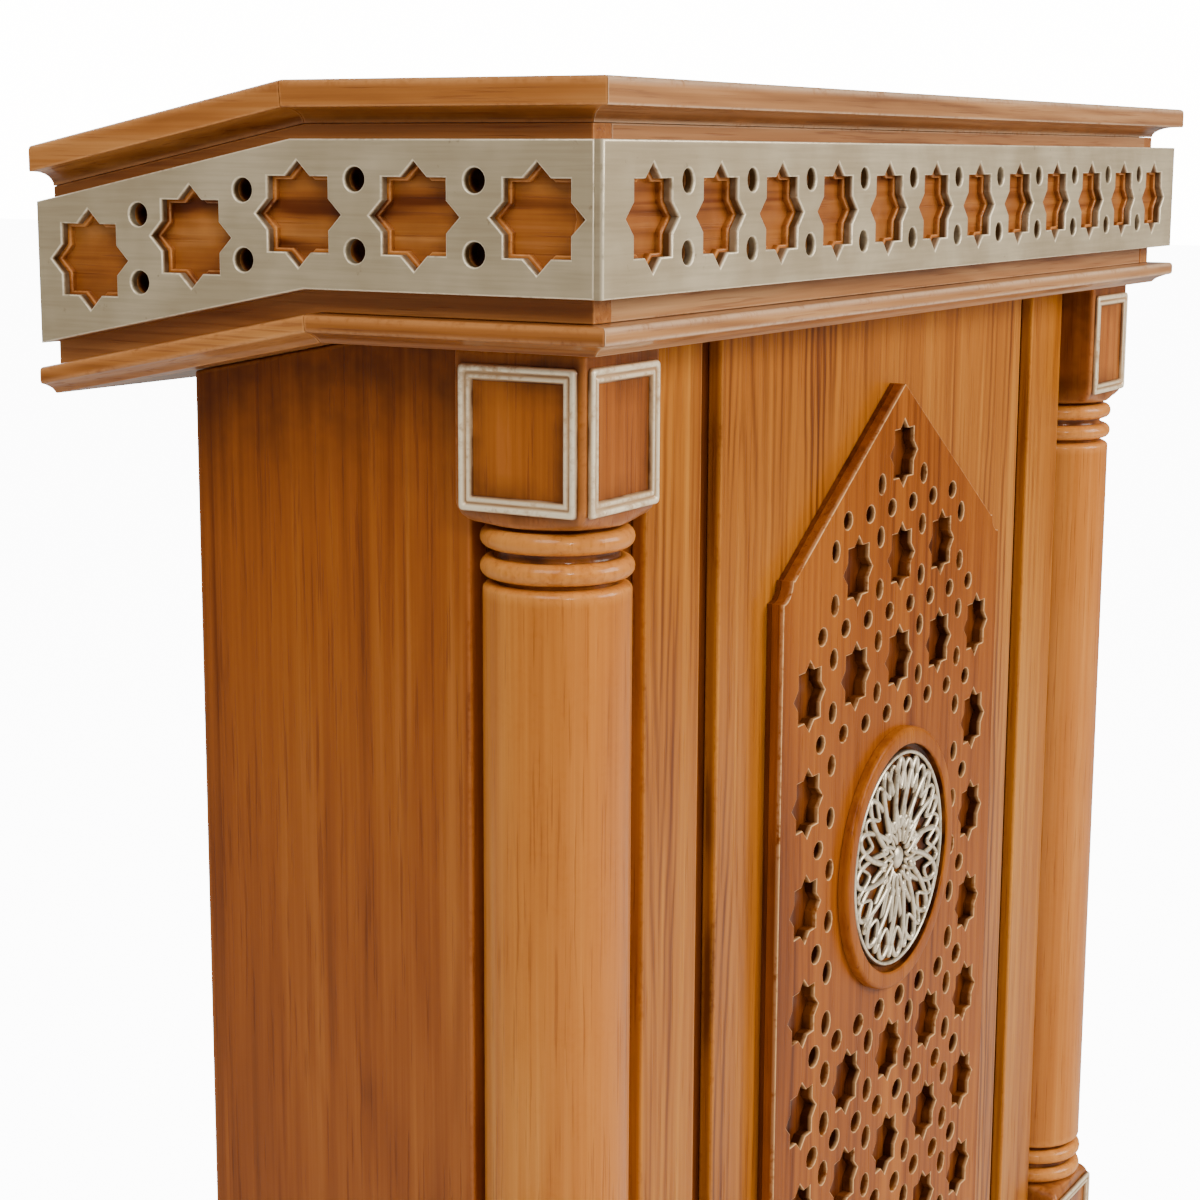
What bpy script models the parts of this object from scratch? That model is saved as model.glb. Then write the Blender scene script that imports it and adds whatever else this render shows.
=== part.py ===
"""Mosque lectern in teak: a desk with a pierced star frieze on a cabinet with two turned corner columns.

Metres, +Z up. The front (the side that the listeners see) faces -Y, the speaker stands at +Y.
The origin is the middle of the footprint, on the floor.
"""
import math

import bmesh
import bpy
from mathutils import Matrix, Vector

# --- driving sizes ---
gap = 0.0003                     # clearance between touching pieces
star_pitch = 0.0805              # frieze stars, centre to centre
front_stars = 12
side_stars = 5
front_margin = 0.055             # first star centre to the end of the front plate
side_margin = 0.042
frieze_height = 0.085
frieze_top = 1.140               # height of the frieze's top edge over the floor
level_depth = 0.208              # desk depth in front of the bend
slope_angle = math.radians(11.0)

# desk section: outward of the frieze face is positive, upward of its top edge is positive
plate_thickness = 0.0057
backing_thickness = 0.0097
neck_setback = 0.0160            # neck plane behind the frieze face
apron_thickness = 0.020
cap_out = 0.005
cap_top = 0.033
cap_face = 0.0155
cap_bottom = 0.009
rim_width = 0.050
rim_lip = 0.012                  # ledge that carries the reading boards
reading_board = 0.012
reading_recess = 0.010           # reading board below the rim
board_ledge = 0.0160             # depth of the ledge below the boards
stop_depth = 0.022               # book stop along the desk's low edge
lower_neck = 0.0145              # neck between the frieze and the lower moulding
lip_out = 0.002
lip_height = 0.010
lower_cove = 0.007
desk_floor_thickness = 0.013

# stars and holes
star_radius = 0.0304
star_inner = 0.765               # inner corners, as a share of the tip radius
hole_radius = 0.0070
hole_spread = 0.0201             # hole centres above and below the middle line

# columns
column_inset = 0.072             # column axis behind the frieze faces
shaft_radius = 0.044
ring_radius = 0.0455
ring_height = 0.0175
fillet_height = 0.0100
block_size = 0.087
block_height = 0.101
frame_size = 0.079
frame_height = 0.085
frame_bar = 0.0095
frame_proud = 0.0025
fillet_proud = 0.0005
groove_depth = 0.004
shaft_facets = 32
eased_edge = 0.0015

# cabinet
panel_inset = 0.049              # outer face of side panels and front boards
panel_thickness = 0.018
body_depth = 0.322               # rear edge of the side panels behind the frieze face
front_board_thickness = 0.010
front_backing_thickness = 0.012
stile_start = 0.136              # from the frieze's end
stile_width = 0.072
groove_width = 0.025
post_width = 0.030
shelf_height = 0.600
shelf_thickness = 0.018
shelf_setback = 0.004
rail_height = 0.060
rail_thickness = 0.020

# carved arch
arch_half_width = 0.195
arch_top_margin = 0.0532         # apex below the top of the front boards
arch_rise = 0.132                # apex above the shoulders
arch_bottom = 0.186
arch_notch = 0.014
lattice_thickness = 0.009
lattice_backing_thickness = 0.0032
lattice_pitch = 0.076
lattice_star = 0.0235
lattice_side_border = 0.020      # plain wood beside the outermost stars
lattice_border = 0.017
medallion_drop = 0.222           # centre of the medallion below the shoulders
medallion_radius = 0.099
medallion_recess_radius = 0.086
medallion_proud = 0.0045
medallion_recess_depth = 0.003
medallion_easing = 0.002
recess_floor = 0.001             # wood left behind the recess
ornament_thickness = 0.004
ornament_points = 12

# base
base_board_height = 0.018
plinth_height = 0.082
plinth_thickness = 0.020
base_inset = 0.012
plinth_inset = 0.022
base_board_easing = 0.004

# --- sizes that follow ---
front_width = (front_stars - 1) * star_pitch + 2 * front_margin
half_width = front_width / 2
band_length = (side_stars - 1) * star_pitch + 2 * side_margin
slope_length = band_length - level_depth
desk_depth = level_depth + slope_length * math.cos(slope_angle)
front_y = -(desk_depth - cap_out) / 2
rear_y = front_y + desk_depth
bend_y = front_y + level_depth
lip_top = -frieze_height - lower_neck
desk_bottom = lip_top - lip_height - lower_cove
body_top = frieze_top + desk_bottom - gap
base_top = plinth_height + base_board_height + gap
column_x = half_width - column_inset
column_y = front_y + column_inset
panel_face_x = half_width - panel_inset
panel_inner_x = panel_face_x - panel_thickness
board_face_y = front_y + panel_inset
board_back_y = board_face_y + front_board_thickness
backing_back_y = board_back_y + gap + front_backing_thickness
body_rear_y = front_y + body_depth
arch_apex = body_top - arch_top_margin
arch_spring = arch_apex - arch_rise
medallion_height = arch_spring - medallion_drop
lattice_half_width = arch_half_width - lattice_side_border
lattice_face_y = board_face_y - lattice_backing_thickness - lattice_thickness - 2 * gap


# --- scene and materials ---
def clear_scene():
    for item in list(bpy.data.objects):
        bpy.data.objects.remove(item, do_unlink=True)


def finish(name, colour, roughness, metallic=0.0):
    material = bpy.data.materials.new(name)
    material.use_nodes = True
    shader = material.node_tree.nodes["Principled BSDF"]
    shader.inputs["Base Color"].default_value = (*colour, 1.0)
    shader.inputs["Roughness"].default_value = roughness
    shader.inputs["Metallic"].default_value = metallic
    return material


clear_scene()
parts = bpy.data.collections.new("mosque_lectern")
bpy.context.scene.collection.children.link(parts)
teak = finish("teak", (0.42, 0.20, 0.075), 0.35)
column_teak = finish("column_teak", (0.52, 0.27, 0.10), 0.32)
backing_teak = finish("backing_teak", (0.47, 0.18, 0.045), 0.45)
dark_backing = finish("dark_backing", (0.13, 0.035, 0.012), 0.55)
champagne_paint = finish("champagne_paint", (0.50, 0.46, 0.37), 0.38, 0.35)
silver_leaf = finish("silver_leaf", (0.78, 0.74, 0.66), 0.25, 0.85)
inner_teak = finish("inner_teak", (0.36, 0.19, 0.085), 0.55)


# --- shape helpers ---
def place(name, data, material, matrix=None):
    """Link a mesh or curve as a named part with one material."""
    item = bpy.data.objects.new(name, data)
    data.materials.append(material)
    if matrix is not None:
        item.matrix_world = matrix
    parts.objects.link(item)
    return item


def box(name, low, high, material, bevel=0.0):
    """A board between two corners, with its long edges eased by a one-step bevel."""
    mesh = bpy.data.meshes.new(name)
    work = bmesh.new()
    bmesh.ops.create_cube(work, size=1.0)
    size = [b - a for a, b in zip(low, high)]
    bmesh.ops.scale(work, vec=size, verts=work.verts)
    work.to_mesh(mesh)
    work.free()
    middle = [(a + b) / 2 for a, b in zip(low, high)]
    item = place(name, mesh, material, Matrix.Translation(middle))
    if bevel:
        edge = item.modifiers.new("eased_edges", "BEVEL")
        edge.width = bevel
        edge.segments = 1
    return item


def outline_solid(name, outlines, thickness, matrix, material):
    """Extrude a flat outline; every outline after the first is a hole in it."""
    curve = bpy.data.curves.new(name, "CURVE")
    curve.dimensions = "2D"
    curve.fill_mode = "BOTH"
    curve.extrude = thickness / 2
    for points in outlines:
        spline = curve.splines.new("POLY")
        spline.points.add(len(points) - 1)
        for point, (x, y) in zip(spline.points, points):
            point.co = (x, y, 0.0, 1.0)
        spline.use_cyclic_u = True
    return place(name, curve, material, matrix)


def facing_front(y_face, thickness, z=0.0):
    """Drawing plane with x to +X and y to +Z, its outer face at y_face, facing -Y."""
    return Matrix.Translation((0, y_face + thickness / 2, z)) @ Matrix.Rotation(math.pi / 2, 4, "X")


def facing_side(x_middle):
    """Drawing plane with x to +Y and y to +Z, in the middle of a board at x_middle."""
    return Matrix.Translation((x_middle, 0, 0)) @ Matrix.Rotation(math.pi / 2, 4, "Z") @ Matrix.Rotation(
        math.pi / 2, 4, "X")


def star(x, y, radius):
    """Eight-pointed star as 16 corners, a tip pointing up."""
    points = []
    for corner in range(16):
        angle = math.pi / 2 + corner * math.pi / 8
        reach = radius if corner % 2 == 0 else radius * star_inner
        points.append((x + reach * math.cos(angle), y + reach * math.sin(angle)))
    return points


def circle(x, y, radius, corners=10):
    turn = 2 * math.pi / corners
    return [(x + radius * math.cos(k * turn), y + radius * math.sin(k * turn)) for k in range(corners)]


def moulding(name, profile, start, run, outward, up, slides, material):
    """Extrude a profile along run, then slide each end's corners to cut its mitre.

    slides holds, for each end, how far along the run a corner moves per unit outward and per unit up.
    """
    mesh = bpy.data.meshes.new(name)
    work = bmesh.new()
    direction = run.normalized()
    corners = [work.verts.new(start + outward * o + up * u) for o, u in profile]
    first = work.faces.new(corners)
    grown = bmesh.ops.extrude_face_region(work, geom=[first])["geom"]
    far = [v for v in grown if isinstance(v, bmesh.types.BMVert)]
    bmesh.ops.translate(work, verts=far, vec=run)
    for ends, (per_out, per_up) in zip((corners, far), slides):
        for corner in ends:
            offset = corner.co - start
            corner.co += direction * (offset.dot(outward) * per_out + offset.dot(up) * per_up)
    bmesh.ops.recalc_face_normals(work, faces=work.faces)
    work.to_mesh(mesh)
    work.free()
    return place(name, mesh, material)


# --- the band that the desk's mouldings and plates follow ---
def band_height(y):
    """World height of the frieze's top edge on the desk's side at y."""
    return frieze_top - max(0.0, y - bend_y) * math.tan(slope_angle)


def band_outline(low, high, front, rear):
    """Outline in Y and Z of a strip between two levels of the band, square to it, with a plumb rear end."""
    turn = math.tan(slope_angle / 2)

    def line(level):
        bend = (bend_y + level * turn, frieze_top + level)
        end = (rear, band_height(rear) + level / math.cos(slope_angle))
        return [(front, frieze_top + level), bend, end]

    return line(high) + line(low)[::-1]


def square_point(y, level):
    """Point in Y and Z at a level of the sloping band, square to it above its top edge at y."""
    return y + level * math.sin(slope_angle), band_height(y) + level * math.cos(slope_angle)


def slope_strip(low, high, front, rear):
    """Outline in Y and Z between two levels of the sloping band, with both ends plumb."""
    def point(y, level):
        return y, band_height(y) + level / math.cos(slope_angle)

    return [point(front, high), point(rear, high), point(rear, low), point(front, low)]


def band_run(name, profile, material, rear=rear_y):
    """Front, level and sloping lengths of one mitred moulding round three sides of the desk."""
    turn = math.tan(slope_angle / 2)
    level_slides = ((-1, 0), (0, turn))
    slope_slides = ((0, -turn), (0, -math.tan(slope_angle)))
    up = Vector((0, 0, 1))
    slope = Vector((0, math.cos(slope_angle), -math.sin(slope_angle)))
    slope_up = Vector((0, math.sin(slope_angle), math.cos(slope_angle)))
    joint = Vector((0, gap, 0))
    moulding(name + "_front", profile, Vector((-half_width + 2 * gap, front_y, frieze_top)),
             Vector((front_width - 4 * gap, 0, 0)), Vector((0, -1, 0)), up, ((-1, 0), (1, 0)), material)
    for side, word in ((-1, "left"), (1, "right")):
        corner = Vector((side * half_width, front_y, frieze_top))
        bend = Vector((side * half_width, bend_y, frieze_top))
        outward = Vector((side, 0, 0))
        moulding(f"{name}_{word}_level", profile, corner, bend - corner - joint,
                 outward, up, level_slides, material)
        length = (rear - bend_y) / math.cos(slope_angle)
        moulding(f"{name}_{word}_slope", profile, bend + slope * gap, slope * (length - gap),
                 outward, slope_up, slope_slides, material)


# --- desk ---
def desk_mouldings():
    inner = cap_out - rim_width
    board_seat = cap_top - reading_recess - reading_board
    cap = [(inner, cap_top), (cap_out - 0.003, cap_top), (cap_out, cap_top - 0.003),
           (cap_out, cap_top - cap_face), (cap_out - 0.004, cap_top - cap_face - 0.001),
           (-neck_setback + 0.004, cap_bottom + 0.003), (-neck_setback, cap_bottom),
           (-neck_setback - apron_thickness - gap, cap_bottom),
           (-neck_setback - apron_thickness - gap, board_seat - board_ledge),
           (inner - rim_lip, board_seat - board_ledge), (inner - rim_lip, board_seat), (inner, board_seat)]
    band_run("cap", cap, teak)
    lip = [(inner, lip_top), (lip_out - 0.003, lip_top), (lip_out, lip_top - 0.003),
           (lip_out, lip_top - lip_height + 0.003), (lip_out - 0.003, lip_top - lip_height),
           (-0.010, desk_bottom + 0.002), (-0.012, desk_bottom), (inner, desk_bottom)]
    band_run("lower_moulding", lip, teak)


def reading_surface():
    """Level shelf, sloping reading board, and the book stop and ledge along its low edge."""
    inner_x = half_width + cap_out - rim_width - gap
    top = cap_top - reading_recess
    low = top - reading_board + gap
    front = front_y - cap_out + rim_width + gap
    turn = math.tan(slope_angle / 2)
    stop_y = rear_y - stop_depth
    across = 2 * inner_x
    level = [(front, frieze_top + top), (bend_y + top * turn - gap, frieze_top + top),
             (bend_y + low * turn - gap, frieze_top + low), (front, frieze_top + low)]
    outline_solid("top_board_level", [level], across, facing_side(0), teak)
    upper_bend, lower_bend = (bend_y + level * turn for level in (top, low))
    board = [(upper_bend, frieze_top + top), square_point(stop_y - gap, top),
             square_point(stop_y - gap, low), (lower_bend, frieze_top + low)]
    outline_solid("reading_board", [board], across, facing_side(0), teak)
    seat = top - reading_board
    stop = slope_strip(seat + gap, cap_top, stop_y, rear_y)
    stop[0], stop[3] = square_point(stop_y, cap_top), square_point(stop_y, seat + gap)
    outline_solid("book_stop", [stop], across, facing_side(0), teak)
    ledge = slope_strip(seat - board_ledge, seat, stop_y - rim_lip, rear_y)
    outline_solid("rear_ledge", [ledge], across - 2 * rim_lip, facing_side(0), teak)


def aprons():
    """Plain boards that carry the frieze and show as the necks above and below it."""
    high = cap_bottom - gap
    low = lip_top + gap
    outer = half_width - neck_setback
    inner = outer - apron_thickness
    face = front_y + neck_setback
    sides = band_outline(low, high, face, rear_y)
    for side, word in ((-1, "left"), (1, "right")):
        middle = side * (outer + inner) / 2
        outline_solid(f"apron_{word}", [sides], apron_thickness, facing_side(middle), teak)
    box("apron_front", (-inner + gap, face, frieze_top + low),
        (inner - gap, face + apron_thickness, frieze_top + high), teak)
    rear_high = cap_top - reading_recess - reading_board - board_ledge - gap
    rear = slope_strip(low, rear_high, rear_y - apron_thickness, rear_y)
    outline_solid("apron_rear", [rear], 2 * (inner - gap), facing_side(0), teak)


def frieze():
    """Painted star plates over orange backing strips, on three sides."""
    backing_face = plate_thickness + gap
    backing_back = backing_face + backing_thickness
    middle = frieze_top - frieze_height / 2
    reach = half_width - backing_face
    box("frieze_backing_front", (-reach, front_y + backing_face, frieze_top - frieze_height),
        (reach, front_y + backing_back, frieze_top), backing_teak)
    first = -half_width + front_margin
    stars = [star(first + k * star_pitch, middle, star_radius) for k in range(front_stars)]
    holes = [circle(first + (k + 0.5) * star_pitch, middle + s * hole_spread, hole_radius)
             for k in range(front_stars - 1) for s in (-1, 1)]
    plate = [(-half_width, frieze_top), (half_width, frieze_top),
             (half_width, frieze_top - frieze_height), (-half_width, frieze_top - frieze_height)]
    outline_solid("frieze_plate_front", [plate] + stars + holes, plate_thickness,
                  facing_front(front_y, plate_thickness), champagne_paint)

    def on_band(along):
        y = front_y + along
        if along > level_depth:
            y = bend_y + (along - level_depth) * math.cos(slope_angle)
        return y, band_height(y) - frieze_height / 2

    side_backing = band_outline(-frieze_height, 0, front_y + backing_back + gap, rear_y)
    side_plate = band_outline(-frieze_height, 0, front_y + backing_face, rear_y)
    centres = [on_band(side_margin + k * star_pitch) for k in range(side_stars)]
    between = [on_band(side_margin + (k + 0.5) * star_pitch) for k in range(side_stars - 1)]
    side_holes = [star(y, z, star_radius) for y, z in centres]
    side_holes += [circle(y, z + s * hole_spread, hole_radius) for y, z in between for s in (-1, 1)]
    for side, word in ((-1, "left"), (1, "right")):
        x_plate = side * (half_width - plate_thickness / 2)
        x_backing = side * (half_width - backing_face - backing_thickness / 2)
        outline_solid(f"frieze_plate_{word}", [side_plate] + side_holes, plate_thickness,
                      facing_side(x_plate), champagne_paint)
        outline_solid(f"frieze_backing_{word}", [side_backing], backing_thickness,
                      facing_side(x_backing), backing_teak)


def desk_floor():
    """Thin boards that close the desk from below, between the lower mouldings."""
    inner_x = half_width + cap_out - rim_width - gap
    front = front_y - cap_out + rim_width + gap
    turn = math.tan(slope_angle / 2)
    top = desk_bottom + desk_floor_thickness
    bottom = frieze_top + desk_bottom
    level = [(front, frieze_top + top), (bend_y + top * turn - gap, frieze_top + top),
             (bend_y + desk_bottom * turn - gap, bottom), (front, bottom)]
    outline_solid("desk_floor_level", [level], 2 * inner_x, facing_side(0), inner_teak)
    slope = band_outline(desk_bottom, top, bend_y - 1.0, rear_y)
    outline_solid("desk_floor_slope", [slope[1:5]], 2 * inner_x, facing_side(0), inner_teak)


# --- columns ---
def turned_profile(height):
    """Half section of the shaft from top to bottom: two rings and a fillet at each end."""
    fillet_radius = shaft_radius + fillet_proud
    groove = shaft_radius - groove_depth
    end = [(groove, 0.0)]
    for ring in range(2):
        top = ring * ring_height
        for step in range(5):
            angle = math.pi * step / 4
            end.append((groove + (ring_radius - groove) * math.sin(angle), -top - 0.001
                        - (ring_height - 0.002) * (1 - math.cos(angle)) / 2))
    below = 2 * ring_height
    end += [(groove, -below), (fillet_radius - 0.002, -below - 0.002), (fillet_radius, -below - 0.005),
            (shaft_radius, -below - fillet_height)]
    lower = [(r, -height - z) for r, z in reversed(end)]
    return end + lower


def column(word, side):
    """Square blocks with raised frames above and below a turned shaft."""
    x = side * column_x
    upper_low = body_top - block_height
    lower_low = base_top
    shaft_low = lower_low + block_height + gap
    shaft_high = upper_low - gap
    half = block_size / 2
    for place_word, low in (("upper", upper_low), ("lower", lower_low)):
        name = f"block_{place_word}_{word}"
        box(name, (x - half, column_y - half, low), (x + half, column_y + half, low + block_height),
            column_teak, 2 * eased_edge)
        middle = low + block_height / 2
        outer = [(-frame_size / 2, -frame_height / 2), (frame_size / 2, -frame_height / 2),
                 (frame_size / 2, frame_height / 2), (-frame_size / 2, frame_height / 2)]
        narrow, short = 1 - 2 * frame_bar / frame_size, 1 - 2 * frame_bar / frame_height
        inner = [(u * narrow, v * short) for u, v in outer]
        thickness = frame_proud - gap
        front = Matrix.Translation((x, column_y - half - frame_proud + thickness / 2, middle))
        outline_solid(f"frame_{place_word}_{word}_front", [outer, inner], thickness,
                      front @ Matrix.Rotation(math.pi / 2, 4, "X"), champagne_paint)
        outside = Matrix.Translation((x + side * (half + frame_proud - thickness / 2), column_y, middle))
        outline_solid(f"frame_{place_word}_{word}_side", [outer, inner], thickness,
                      outside @ Matrix.Rotation(math.pi / 2, 4, "Z") @ Matrix.Rotation(math.pi / 2, 4, "X"),
                      champagne_paint)
    height = shaft_high - shaft_low
    mesh = bpy.data.meshes.new(f"shaft_{word}")
    profile = [(0.0, 0.0)] + turned_profile(height) + [(0.0, -height)]
    mesh.from_pydata([(r, 0.0, z) for r, z in profile], [(k, k + 1) for k in range(len(profile) - 1)], [])
    item = place(f"shaft_{word}", mesh, column_teak, Matrix.Translation((x, column_y, shaft_high)))
    turn = item.modifiers.new("turned", "SCREW")
    turn.steps = shaft_facets
    turn.render_steps = shaft_facets
    turn.use_merge_vertices = True
    turn.merge_threshold = 0.0001
    turn.use_smooth_shade = True


# --- cabinet ---
def side_panels():
    front = column_y + ring_radius + gap
    outline = band_outline(-1.0, desk_bottom - gap, front, body_rear_y)[:3]
    outline += [(body_rear_y, base_top), (front, base_top)]
    for side, word in ((-1, "left"), (1, "right")):
        middle = side * (panel_face_x + panel_inner_x) / 2
        outline_solid(f"side_panel_{word}", [outline], panel_thickness, facing_side(middle), teak)


def front_boards():
    reach = column_x - ring_radius - gap
    box("front_backing", (-reach, board_back_y + gap, base_top), (reach, backing_back_y, body_top),
        dark_backing)
    for side, word in ((-1, "left"), (1, "right")):
        edges = sorted((side * (half_width - stile_start), side * (half_width - stile_start - stile_width)))
        box(f"front_stile_{word}", (edges[0], board_face_y, base_top), (edges[1], board_back_y, body_top),
            teak, eased_edge)
    reach = half_width - stile_start - stile_width - groove_width
    box("front_board", (-reach, board_face_y, base_top), (reach, board_back_y, body_top), teak, eased_edge)


def arch_outline():
    """Straight-sided pointed arch with a small round notch at each shoulder."""
    shoulder = arch_spring + arch_notch
    right = [(0.0, arch_apex), (arch_half_width - arch_notch * 1.2, shoulder)]
    centre = (arch_half_width, shoulder)
    for step in range(4):
        angle = math.pi + math.pi / 2 * step / 3
        right.append((centre[0] + arch_notch * math.cos(angle), centre[1] + arch_notch * math.sin(angle)))
    right.append((arch_half_width, arch_bottom))
    left = [(-x, z) for x, z in reversed(right[1:])]
    return right + left


def arch_edge(x):
    """Height of the arch's sloping edge at x."""
    rise = (arch_apex - arch_spring - arch_notch) / (arch_half_width - arch_notch * 1.2)
    return arch_apex - abs(x) * rise


def lattice_centres():
    """Star centres of the square grid that stand clear of the arch's edges and of the medallion."""
    columns = int(lattice_half_width // lattice_pitch)
    up = math.ceil((arch_apex - medallion_height) / lattice_pitch)
    down = math.ceil((medallion_height - arch_bottom) / lattice_pitch)
    centres = []
    for i in range(-columns, columns + 1):
        for j in range(-down, up + 1):
            x = i * lattice_pitch
            z = medallion_height + j * lattice_pitch
            in_ring = math.hypot(x, z - medallion_height) < medallion_radius + lattice_star * 0.5
            too_low = z - lattice_star < arch_bottom + lattice_border
            reach = x + math.copysign(lattice_star * 0.6, x) if x else 0.0
            too_high = z + lattice_star > arch_edge(reach) - 0.008
            if not (in_ring or too_low or too_high):
                centres.append((x, z))
    return centres


def carved_arch():
    limit = lattice_half_width
    holes = []
    for x, z in lattice_centres():
        holes.append([(max(-limit, min(limit, u)), v) for u, v in star(x, z, lattice_star)])
    outline_solid("lattice_backing", [arch_outline()], lattice_backing_thickness,
                  facing_front(board_face_y - gap - lattice_backing_thickness, lattice_backing_thickness),
                  dark_backing)
    outline_solid("lattice_panel", [arch_outline()] + holes, lattice_thickness,
                  facing_front(lattice_face_y, lattice_thickness), teak)


def medallion():
    """Round wooden boss with a raised rim, and the leafed rosette in its recess."""
    thickness = medallion_proud + medallion_recess_depth
    face = lattice_face_y - gap
    mesh = bpy.data.meshes.new("medallion_disc")
    hollow, easing = medallion_recess_radius, medallion_easing
    profile = [(0.0, recess_floor), (hollow - easing, recess_floor), (hollow, thickness - easing),
               (hollow + easing, thickness), (medallion_radius - easing, thickness),
               (medallion_radius, thickness - easing), (medallion_radius, 0.0), (0.0, 0.0)]
    mesh.from_pydata([(r, 0.0, z) for r, z in profile], [(k, k + 1) for k in range(len(profile) - 1)], [])
    turn_to_front = Matrix.Translation((0, face, medallion_height)) @ Matrix.Rotation(math.pi / 2, 4, "X")
    disc = place("medallion_disc", mesh, teak, turn_to_front)
    turn = disc.modifiers.new("turned", "SCREW")
    turn.steps = 48
    turn.render_steps = 48
    turn.use_merge_vertices = True
    turn.merge_threshold = 0.0001
    turn.use_smooth_shade = True
    petals = []
    for corner in range(2 * ornament_points):
        angle = math.pi / 2 + corner * math.pi / ornament_points
        reach = medallion_recess_radius - (0.006 if corner % 2 == 0 else 0.022)
        petals.append((reach * math.cos(angle), reach * math.sin(angle)))
    outline_solid("medallion_rosette", [petals], ornament_thickness,
                  facing_front(face - recess_floor - gap - ornament_thickness, ornament_thickness,
                               medallion_height), silver_leaf)


def cabinet_inside():
    """L-shaped posts behind the columns, the shelf, and the rails that tie the side panels."""
    inner = panel_inner_x - gap
    near = column_x - ring_radius - gap
    post_front = column_y + ring_radius + gap
    post_rear = post_front + post_width
    corner = backing_back_y + gap
    height = body_top - base_top
    section = [(inner, post_front), (near, post_front), (near, corner), (near - post_width, corner),
               (near - post_width, post_rear), (inner, post_rear)]
    for side, word in ((-1, "left"), (1, "right")):
        outline_solid(f"corner_post_{word}", [[(side * x, y) for x, y in section]], height,
                      Matrix.Translation((0, 0, base_top + height / 2)), inner_teak)
    shelf_front = post_rear + gap
    box("shelf", (-inner, shelf_front, shelf_height - shelf_thickness),
        (inner, body_rear_y - shelf_setback, shelf_height), inner_teak, eased_edge)
    rail_top = band_height(body_rear_y) + (desk_bottom - gap) / math.cos(slope_angle)
    box("rear_top_rail", (-inner, body_rear_y - rail_thickness, rail_top - rail_height),
        (inner, body_rear_y, rail_top), teak, eased_edge)
    box("rear_bottom_rail", (-inner, body_rear_y - rail_thickness, base_top),
        (inner, body_rear_y, base_top + rail_height), teak, eased_edge)


def base():
    outer = half_width - base_inset
    front = front_y + base_inset
    rear = body_rear_y + plinth_inset - base_inset
    box("base_board", (-outer, front, plinth_height + gap), (outer, rear, base_top - gap), teak,
        base_board_easing)
    outer = half_width - plinth_inset
    front = front_y + plinth_inset
    rear = body_rear_y
    box("plinth_front", (-outer, front, 0), (outer, front + plinth_thickness, plinth_height), teak,
        eased_edge)
    for side, word in ((-1, "left"), (1, "right")):
        near, far = sorted((side * outer, side * (outer - plinth_thickness)))
        box(f"plinth_{word}", (near, front + plinth_thickness + gap, 0), (far, rear, plinth_height), teak,
            eased_edge)
    inner = outer - plinth_thickness - gap
    box("plinth_rear", (-inner, rear - plinth_thickness, 0), (inner, rear, plinth_height), teak, eased_edge)


desk_mouldings()
reading_surface()
aprons()
frieze()
desk_floor()
for side_word, side_sign in (("left", -1), ("right", 1)):
    column(side_word, side_sign)
side_panels()
front_boards()
carved_arch()
medallion()
cabinet_inside()
base()
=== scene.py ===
import math

import bmesh
import bpy
import numpy as np
from mathutils import Matrix, Vector
from mathutils.geometry import tessellate_polygon


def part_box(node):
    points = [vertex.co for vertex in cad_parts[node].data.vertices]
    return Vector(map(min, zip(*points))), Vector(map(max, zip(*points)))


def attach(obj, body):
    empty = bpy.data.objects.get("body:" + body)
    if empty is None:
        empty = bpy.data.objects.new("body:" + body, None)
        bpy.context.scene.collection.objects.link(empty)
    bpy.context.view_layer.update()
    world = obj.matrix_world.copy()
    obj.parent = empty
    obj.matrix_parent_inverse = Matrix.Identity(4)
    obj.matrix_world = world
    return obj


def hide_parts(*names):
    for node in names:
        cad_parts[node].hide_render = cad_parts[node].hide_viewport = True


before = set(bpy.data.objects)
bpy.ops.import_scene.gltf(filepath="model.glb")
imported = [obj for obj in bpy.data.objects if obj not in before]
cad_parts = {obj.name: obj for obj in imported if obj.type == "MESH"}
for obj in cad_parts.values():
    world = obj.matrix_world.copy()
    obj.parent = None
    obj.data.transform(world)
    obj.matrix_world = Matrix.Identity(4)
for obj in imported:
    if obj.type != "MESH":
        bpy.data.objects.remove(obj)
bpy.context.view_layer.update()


# where the desk's band runs
band = {"slope": math.radians(11.0), "levelDepth": 0.208}
plateLow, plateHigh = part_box("frieze_plate_front")
band["halfWidth"] = plateHigh[0]
band["front"] = plateLow[1]
band["top"] = plateHigh[2]
band["height"] = plateHigh[2] - plateLow[2]
band["rear"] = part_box("frieze_plate_left")[1][1]
band["bend"] = band["front"] + band["levelDepth"]
upward = np.array([0.0, 0.0, 1.0])


def followBand(points):
    # level boards are bent down behind the bend; heights are measured square to it, the rear stays plumb
    bent = points.copy()
    level = points[:, 2] - band["top"]
    slope = band["slope"]
    mitre = band["bend"] + level * math.tan(slope / 2)
    t = (points[:, 1] - band["bend"]) / (band["rear"] - band["bend"])
    sloping = t > 0
    slopeY = mitre + t * (band["rear"] - mitre)
    levelY = points[:, 1] + (mitre - band["bend"]) * np.clip(
        (points[:, 1] - band["front"]) / (band["bend"] - band["front"]), 0, 1)
    bent[:, 1] = np.where(sloping, slopeY, levelY)
    drop = (bent[:, 1] - band["bend"]) * math.tan(slope)
    bent[:, 2] = np.where(sloping, band["top"] - drop + level / math.cos(slope), points[:, 2])
    return bent


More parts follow.
